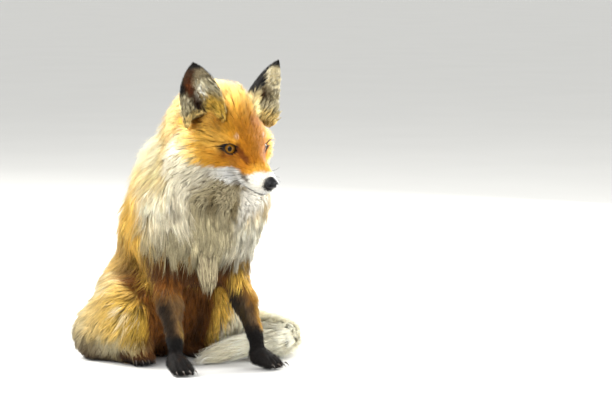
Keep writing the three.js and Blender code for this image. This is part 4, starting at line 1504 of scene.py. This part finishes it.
# %% Parts of the skin
BARE_NOSE = 9.5 * MM  # no hair grows nearer to the middle of the nose than this
face_middles, face_normals = (np.empty(len(faces) * 3, np.float32) for _ in range(2))
faces.foreach_get("center", face_middles)
faces.foreach_get("normal", face_normals)
face_middles, face_normals = face_middles.reshape(-1, 3), face_normals.reshape(-1, 3)
on_part = part_shares.at(face_middles).argmax(axis=1)
part_is = {part: (on_part == n) & (whose == 0) for n, part in enumerate(PARTS)}
head_out, head_ahead, head_up = in_head(face_middles).T
bare = np.linalg.norm(face_middles - NOSE, axis=1) < BARE_NOSE
for name in SIDES:
    bare |= (almond(name, face_middles) < 1.3) & (on_lids(name, face_middles)[2] < 15)
bare |= (np.abs(above_mouth(face_middles)) < 1.0) & (head_ahead > 30)
short = (head_ahead > -4) | (np.abs(head_out) + np.abs(head_ahead + 4) * 0.9 < 34)
short &= head_up > -40
print("bare", int(bare.sum()), "faces, short-haired", int((short & part_is["head"]).sum()))

# %% Locks of the coat
grow("coat_face", part_is["head"] & ~bare & short, 41000, 2, clump=3, pull=0.35, stray=0.02,
     contrast=(0.07, 0.1))
grow("coat_cheeks", part_is["head"] & ~bare & ~short, 17000, 3, clump=5, pull=0.5, stray=0.1, wisps=0.4,
     contrast=(0.08, 0.1), root_shade=0.65)
grow("coat_neck", part_is["neck"] & (face_normals[:, 1] > -0.35), 18500, 3, clump=5.5, pull=0.5, stray=0.15,
     wisps=0.45, contrast=(0.09, 0.12), root_shade=0.65)
grow("coat_ruff", part_is["neck"] & (face_normals[:, 1] <= -0.35), 12200, 4, clump=7, pull=0.6, stray=0.08,
     contrast=(0.17, 0.2))
grow("coat_trunk", part_is["trunk"], 15500, 3, clump=6, pull=0.55, stray=0.1, wisps=0.35,
     contrast=(0.14, 0.16))
grow("coat_haunches", part_is["haunch"], 18500, 3, clump=5, pull=0.5, stray=0.1, contrast=(0.13, 0.15))
grow("coat_legs", part_is["leg"], 20000, 2, clump=3, pull=0.35)
grow("coat_feet", part_is["foot"], 11000, 2, clump=3, pull=0.3)
grow("coat_tail", part_is["tail"], 16500, 3, clump=6, pull=0.4, stray=0.22, wisps=0.6,
     contrast=(0.06, 0.1), root_shade=0.9)


# %% [markdown]
# The long hair in the middle of the chest ends in one loose tuft that hangs between the forelegs. The
# coat's own locks would all stop at the same height, so these are planted from a few roots towards one
# given tip.

# %% The ruff's last tuft
count = 320
tuft_root = np.array([CHEST[0] - 0.012, CHEST[1] + 0.012, RUFF_END - 0.012])
tuft_tip = tuft_root + (-0.003, -0.002, -0.042)
middles = face_middles - tuft_root
near_tuft = (np.abs(middles[:, 0]) < 0.014) & (np.abs(middles[:, 2]) < 0.016) & (face_normals[:, 1] < -0.2)
roots, out, places = rooted(skin_patch(near_tuft), count)
share = np.linspace(0, 1, 4)[None, :, None]
spread_out = (roots - tuft_root)[:, None] * (1, 0.3, 0.3) * 0.35
ends = tuft_tip + spread_out[:, 0] + RNG.normal(0, 1, (count, 3)) * (0.0025, 0.002, 0.008)
paths = mix((roots - out * MM)[:, None], ends[:, None], share)
paths += out[:, None] * (np.sin(share * math.pi) * 9 * MM)
tones = mix(GRIZZLE, ASH_CREAM, RNG.random((count, 1))) * (1 + RNG.normal(0, 0.16, (count, 1)))
planted("coat_tuft", paths, out, np.full(count, 1.0 * MM), tones, places)

# %% [markdown]
# ## Hair of the ears
#
# The back of an ear has short dense hair that lies towards the tip. Inside, long pale hair springs from
# the edge nearest the crown and from the base, and sweeps outwards and up across the dark hollow.

# %% Paths on the ears
def swept(roots, out, along, length, stand, steps):
    """Paths that leave the skin at a slant and bend down along it."""
    paths, place = [roots - out * 0.5 * MM], roots
    for n in range(1, steps):
        ease_off = 1 - (n - 1) / max(steps - 1, 1)
        place = place + unit(along + out * (stand * ease_off)[:, None]) * (length / (steps - 1))[:, None]
        paths.append(place)
    return np.stack(paths, axis=1)


def ear_frame(roots):
    """For points on the ears: across, forwards and up each point's own ear, and its place on it."""
    left = (which_ear(roots) == "left")[:, None]
    axes = [np.where(left, EAR_AXES["left"][k], EAR_AXES["right"][k]) for k in range(3)]
    place = np.where(left.T, on_ear("left", roots), on_ear("right", roots))
    return axes[0], axes[1], unit(axes[2]), place


ear_facing = np.where(
    (which_ear(face_middles) == "left")[:, None], EAR_AXES["left"][1], EAR_AXES["right"][1]
)
opening = (face_normals * ear_facing).sum(axis=1) > 0.05
above_fur = whose == 1
print("ear faces", int(above_fur.sum()), "of them in the hollows", int((above_fur & opening).sum()))

# %% Backs of the ears
count = 11000
roots, out, places = rooted(skin_patch(above_fur & ~opening), count)
lateral, _, up, (across, _, height) = ear_frame(roots)
along = unit(up + lateral * RNG.normal(0, 0.12, (count, 1)))
length = RNG.uniform(3.4, 5.4, count) * MM
length = length * mix(1.0, 2.4, ease(0.4, 0.1, height)) * mix(1.0, 0.5, ease(0.7, 1, height))
paths = swept(roots, out, along, length, np.full(count, 0.18), 2)
tones = ear_colours(roots, out) * (1 + RNG.normal(0, 0.12, (count, 1)))
planted("coat_ear_backs", paths, out, np.full(count, 0.75 * MM), tones, places)

# %% Hollows of the ears
count = 12500
roots, out, places = rooted(skin_patch(above_fur & opening), count)
lateral, forward, up, (across, _, height) = ear_frame(roots)
crown_edge = ease(0.0, -0.75, across)
outer_edge = ease(0.45, 0.85, across)
foot = ease(0.4, 0.1, height)
clump = nearest_guide(roots, RNG.choice(count, 700, replace=False))
sway = RNG.normal(0, 0.12, (count, 3))[clump] + RNG.normal(0, 0.05, (count, 3))
along = unit(
    lateral * (0.45 * crown_edge - 0.35 * outer_edge)[:, None] + up * (0.95 + 0.1 * outer_edge)[:, None]
    + forward * (0.12 + 0.4 * foot)[:, None] + sway
)
long_hair = np.maximum(crown_edge, foot)
length = mix(7.0, 14.0, long_hair) * RNG.uniform(0.75, 1.2, count) * MM
length = length * mix(1.0, 0.35, ease(0.55, 0.9, height))
paths = swept(roots, out, along, length, mix(0.25, 0.5, long_hair), 3)
target = paths[clump] + (roots - roots[clump])[:, None] * 0.3
paths = mix(paths, target, np.array([0, 0.15, 0.45])[None, :, None])
streaks = RNG.normal(0, 0.26, count)[clump] + RNG.normal(0, 0.2, count)

# %% Tones of the hollows
tones = ear_colours(roots, out)
left_ear = which_ear(roots) == "left"
dark = np.where(left_ear, *(ear_dark(name, across, height) for name in ("left", "right")))
rim = np.where(left_ear, *(ear_rim(name, across, height) for name in ("left", "right")))
bright = (RNG.random(count)[clump] < np.where(left_ear, 0.6, 0.35)) & (dark < 0.25) & (rim < 0.3)
bright = bright & ((across > -0.4) | (height > 0.42)) & (left_ear | (height < 0.66))
tones = paint(tones, 0.8 * bright * ease(0.1, 0.3, height), GREY_CREAM)
tuft = ~left_ear * bump_at(across, -0.35, 0.28) * bump_at(height, 0.43, 0.12)
tones = paint(tones, clamp(1.2 * tuft) * (RNG.random(count)[clump] < 0.8), SNOW)
tones = tones * (1 + clamp(streaks, -0.5, 0.5))[:, None]
planted("coat_ear_hollows", paths, out, mix(0.55, 0.62, long_hair) * MM, tones, places)

# %% [markdown]
# ## Eyes
#
# Each eye is a ball with a slightly raised cornea over a flat amber iris and an upright oval pupil. Its
# points carry their place across the gaze in millimetres, which the shader reads to draw the rings.

# %% Colours of the eye
EYE_PLACE, EYE_RAY = "eye_place", "eye_ray"
IRIS = 7.0  # its radius
PUPIL = (2.8, 3.4)  # its half width and half height

iris_material = bpy.data.materials.new("fox_eye")
tree, shader = shader_of(iris_material, Roughness=0.04, Specular_IOR_Level=0.1)
place = add_node(tree, "Attribute", {"attribute_name": EYE_PLACE}, output=1)
ray = add_node(tree, "Attribute", {"attribute_name": EYE_RAY}, output=1)
parts = add_node(tree, "SeparateXYZ", Vector=place)
x, y = parts, Socket(tree, parts.link.node.outputs[1])
radius = x.maths("SQRT", x * x + y * y)
oval = (x * x) * (1 / PUPIL[0] ** 2) + (y * y) * (1 / PUPIL[1] ** 2)
streaks = add_node(tree, "TexNoise", Vector=ray, Scale=3.0, Detail=3.0)
amber = mixed(tree, streaks, (0.05, 0.018, 0.001, 1), (0.2, 0.085, 0.005, 1))
amber = mixed(tree, radius.step(1.5, 5.2), mixed(tree, 0.3, amber, (0.28, 0.13, 0.01, 1)), amber)
amber = mixed(tree, radius.step(IRIS - 0.9, IRIS), amber, (0.016, 0.009, 0.005, 1))
amber = mixed(tree, oval.step(1.15, 0.85), amber, (0.003, 0.003, 0.003, 1))
amber = mixed(tree, radius.step(IRIS, IRIS + 0.7), amber, (0.02, 0.014, 0.012, 1))
tree.links.new(amber.link, shader.inputs["Base Color"])
print("eye nodes", len(tree.nodes))

# %% Eyeballs
RINGS, AROUND = 40, 48
CORNEA = 0.35 * MM  # how far it stands out of the ball


def vector_points(mesh, name, values):
    mesh.attributes.new(name, "FLOAT_VECTOR", "POINT").data.foreach_set(
        "vector", np.asarray(values, np.float32).ravel()
    )


def dish(rings, around):
    """Quads of a ball of rings about one pole at each end."""
    faces = [(0, 1 + n, 1 + (n + 1) % around) for n in range(around)]
    for ring in range(rings - 1):
        a = 1 + ring * around
        b = a + around
        faces += [(a + n, b + n, b + (n + 1) % around, a + (n + 1) % around) for n in range(around)]
    last = 1 + (rings - 1) * around
    faces += [(last + n, last + around, last + (n + 1) % around) for n in range(around)]
    return faces


for name, side in SIDES.items():
    gaze = GAZE[name]
    inward = unit(-OUT * side - gaze * np.dot(-OUT * side, gaze))
    upward = np.cross(inward, gaze) * side
    slant = np.linspace(0, np.pi, RINGS + 2)[1:-1]
    turn = 2 * np.pi * np.arange(AROUND) / AROUND
    ball = EYE_RADIUS + CORNEA * np.exp(-((slant / 0.6) ** 4))
    ring = np.stack([
        np.outer(ball * np.sin(slant), np.cos(turn)), np.outer(ball * np.sin(slant), np.sin(turn)),
        np.outer(ball * np.cos(slant), np.ones(AROUND)),
    ], axis=-1).reshape(-1, 3)
    local = np.vstack([[0, 0, EYE_RADIUS + CORNEA], ring, [0, 0, -EYE_RADIUS]])
    placed = EYES[name] + local @ np.array([inward, upward, gaze])
    eye = plain_object(f"eyeball_{name}", placed, dish(RINGS, AROUND))
    flat = local[:, :2] / MM
    far = np.linalg.norm(flat, axis=1, keepdims=True)
    vector_points(eye.data, EYE_PLACE, np.column_stack([flat, far]))
    vector_points(eye.data, EYE_RAY, np.column_stack([flat / np.maximum(far, 1e-6) * 3, far * 0.12]))
    facing_out(eye)
    eye.data.shade_smooth()
    eye.data.materials.append(iris_material)
    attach(eye, "root")
    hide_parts(f"eye_{name}")
print("eyes look", np.round(GAZE["left"], 2), np.round(GAZE["right"], 2))

# %% [markdown]
# ## Nose, whiskers and claws
#
# The bare nose is a soft pad with two comma-shaped nostrils and a groove down its middle, and its skin is
# a fine cobble. Whiskers stand in rows on the whisker beds, stiff and black. Each claw is a small curved
# horn that grows out of the end of a toe, where the CAD's plain claw is.

# %% The nose's shape
def egg_field(points, middle, radii):
    """Distance to an egg, true near its surface."""
    return (np.linalg.norm((points - middle) / radii, axis=-1) - 1) * min(radii)


def rod_field(start, end, start_radius, end_radius):
    """Distance to a rod in the nose's own millimetres."""
    return limb_field(mirrored, np.array(start), np.array(end), start_radius, end_radius)


NOSE_CELL = 0.5 * MM
NOSE_SLACK = 9 * MM
nose_low, nose_high = (np.array(corner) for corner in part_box("nose"))
nose_low, nose_high = nose_low - NOSE_SLACK, nose_high + NOSE_SLACK
nose_size = np.ceil((nose_high - nose_low) / NOSE_CELL).astype(int)
nose_field = Field(np.zeros(nose_size, np.float32), nose_low, NOSE_CELL)
q = ((nose_field.places() - NOSE) @ HEAD_AXES.T) / MM
mirrored = np.abs(q) * (1, 0, 0) + q * (0, 1, 1)
pad = egg_field(mirrored, (0, -1.6, 0), (7.8, 8.2, 6.8))
pad = melt(pad, egg_field(mirrored, (4.4, -0.8, -1.2), (4.2, 5.8, 4.8)), 2.0)
nostril = rod_field([3.9, 7.4, 0.4], [5.2, 3.0, -0.4], 1.9, 1.5)
nostril = melt(nostril, rod_field([6.0, 4.0, -1.2], [9.8, -2.0, -2.4], 0.9, 0.5), 0.8)
pad = carve(pad, nostril, 0.9)
pad = carve(pad, rod_field([0, 6.8, 0.0], [0, 4.2, -8.0], 0.5, 0.6), 0.7)
nose_field.values = (pad * MM).astype(np.float32)
nose = mesh_of("nose_pad", nose_field)
facing_out(nose)
nose.data.shade_smooth()
print("nose", len(nose.data.polygons), "faces")

# %% The nose's skin
nose_material = bpy.data.materials.new("fox_nose")
tree, shader = shader_of(nose_material, Specular_IOR_Level=0.16, Coat_Weight=0.05, Coat_Roughness=0.25)
cobble = add_node(tree, "TexVoronoi", Vector=object_place(tree), Scale=1100.0)
grain = add_node(tree, "TexNoise", Vector=object_place(tree), Scale=500.0, Detail=2.0)
blacks = mixed(tree, grain, (0.003, 0.003, 0.004, 1), (0.008, 0.008, 0.009, 1))
tree.links.new(blacks.link, shader.inputs["Base Color"])
tree.links.new((grain * 0.2 + 0.26).link, shader.inputs["Roughness"])
bumps = add_node(tree, "Bump", Strength=0.35, Distance=0.0003, Height=cobble)
tree.links.new(bumps.link, shader.inputs["Normal"])
nose.data.materials.append(nose_material)
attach(nose, "root")
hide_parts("nose")
print("nose nodes", len(tree.nodes))

# %% [markdown]
# Whiskers are single thick hairs, so each is a long thin spike of seven steps that starts under the skin of
# the whisker bed. Rows lower down start further back, and hairs further back are longer and droop more.

# %% Whiskers
WHISKER_STEPS = 7
WHISKER_WIDTH = 0.42 * MM
whisker_paths, whisker_out = [], []
for side in SIDES.values():
    for row in range(4):
        for n in range(4 - row % 2):
            ahead, up = 60 - 6.5 * n - 2 * row, -8 - 3.4 * row
            found, root, normal, _ = skin.closest_point_on_mesh(Vector(on_head(24 * side, ahead, up)))
            long = RNG.uniform(0.7, 1.1) * (26 + 7 * n) * MM
            aim = along_head(0.85 * side, 0.25 - 0.22 * n, -0.12 - 0.1 * row + RNG.normal(0, 0.05))
            place, path = np.array(root) - np.array(normal) * MM, []
            for _ in range(WHISKER_STEPS):
                path.append(place)
                place = place + unit(aim) * long / (WHISKER_STEPS - 1)
                aim = aim + along_head(-0.03 * side, -0.1, -0.05)
            whisker_paths.append(path)
            whisker_out.append(normal)
whisker_paths, whisker_out = np.array(whisker_paths), np.array(whisker_out)
whisker_tones = np.tile(BLACK, (len(whisker_paths), 1))
whisker_number = np.arange(len(whisker_paths))
whisker_places = 0.02 + 0.004 * np.column_stack([whisker_number, 0 * whisker_number])
planted(
    "coat_whiskers", whisker_paths, whisker_out, np.full(len(whisker_paths), WHISKER_WIDTH),
    whisker_tones, whisker_places, root_shade=0.9, tip_shade=1.0,
)

# %% [markdown]
# The plain claws of the CAD say where each claw is, how long it is and which way it points. A fitted line
# through each one's points gives its axis, and a bowed and tapered tube of rings is built along it.

# %% Claws
CLAWS = [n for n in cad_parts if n.startswith("claw")]
CLAW_RINGS, CLAW_SIDES = 7, 8
CLAW_SHARE = 0.72  # of the plain claw's length, as the rest lies in the toe
CLAW_BOW = 1.3 * MM
CLAW_RADII = (1.3, 0.15)  # at its root and its tip
claw_points, claw_faces = [], []
for node in CLAWS:
    points, _ = shape_of(node)
    foot = "forepaw" if "fore" in node else "hindfoot"
    foot_middle = spot(f"{foot}_{node.split('_')[2]}", 0.5, 0.5, 0.4)
    middle = points.mean(axis=0)
    axis = np.linalg.svd(points - middle, full_matrices=False)[2][0]
    axis = axis * np.sign(np.dot(axis, middle - foot_middle))
    reached = (points - middle) @ axis
    root = middle + axis * reached.min()
    tip = mix(root, points[reached.argmax()], CLAW_SHARE)
    side_way = unit(np.cross(axis, (0, 0, 1)))
    rings = []
    for share in np.linspace(0, 1, CLAW_RINGS):
        centre = mix(root, tip, share) + np.array([0, 0, CLAW_BOW * math.sin(math.pi * share)])
        size = MM * mix(*CLAW_RADII, share**1.2)
        turns = 2 * np.pi * np.arange(CLAW_SIDES) / CLAW_SIDES
        rings.append(centre + size * (
            0.7 * np.cos(turns)[:, None] * side_way + np.sin(turns)[:, None] * np.cross(side_way, axis)
        ))
    first = len(claw_points)
    claw_points += [*np.vstack(rings)]
    for ring in range(CLAW_RINGS - 1):
        a = first + ring * CLAW_SIDES
        for n in range(CLAW_SIDES):
            m = (n + 1) % CLAW_SIDES
            claw_faces.append((a + n, a + m, a + CLAW_SIDES + m, a + CLAW_SIDES + n))
    claw_faces.append(tuple(range(first + CLAW_SIDES - 1, first - 1, -1)))
    claw_faces.append(tuple(range(first + (CLAW_RINGS - 1) * CLAW_SIDES, first + CLAW_RINGS * CLAW_SIDES)))
claws = plain_object("claws", claw_points, claw_faces)
shape = bmesh.new()
shape.from_mesh(claws.data)
bmesh.ops.recalc_face_normals(shape, faces=shape.faces)
shape.to_mesh(claws.data)
shape.free()
claws.data.shade_smooth()
print("claws", len(CLAWS))

# %% Horn
horn = bpy.data.materials.new("claw_horn")
tree, shader = shader_of(horn, Specular_IOR_Level=0.5)
grain = add_node(tree, "TexNoise", Vector=object_place(tree), Scale=260.0, Detail=2.0)
horns = mixed(tree, grain, (0.02, 0.016, 0.013, 1), (0.09, 0.07, 0.055, 1))
tree.links.new(horns.link, shader.inputs["Base Color"])
tree.links.new((grain * 0.2 + 0.25).link, shader.inputs["Roughness"])
claws.data.materials.append(horn)
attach(claws, "root")
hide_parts(*CLAWS)
print("horn nodes", len(tree.nodes))

# %% [markdown]
# ## Floor and finish
#
# A plain pale floor carries the shadow.

# %% Floor
FLOOR_REACH = 60
corners = [(x * FLOOR_REACH, y * FLOOR_REACH, 0) for x, y in ((-1, -1), (1, -1), (1, 1), (-1, 1))]
floor = plain_object("floor", corners, [(0, 1, 2, 3)])
floor_material = bpy.data.materials.new("pale_floor")
tree, shader = shader_of(floor_material, Specular_IOR_Level=0.1)
grain = add_node(tree, "TexNoise", Vector=object_place(tree), Scale=3.0, Detail=3.0)
pales = mixed(tree, grain, (0.60, 0.60, 0.59, 1), (0.64, 0.64, 0.63, 1))
tree.links.new(pales.link, shader.inputs["Base Color"])
tree.links.new((grain * 0.1 + 0.8).link, shader.inputs["Roughness"])
floor.data.materials.append(floor_material)
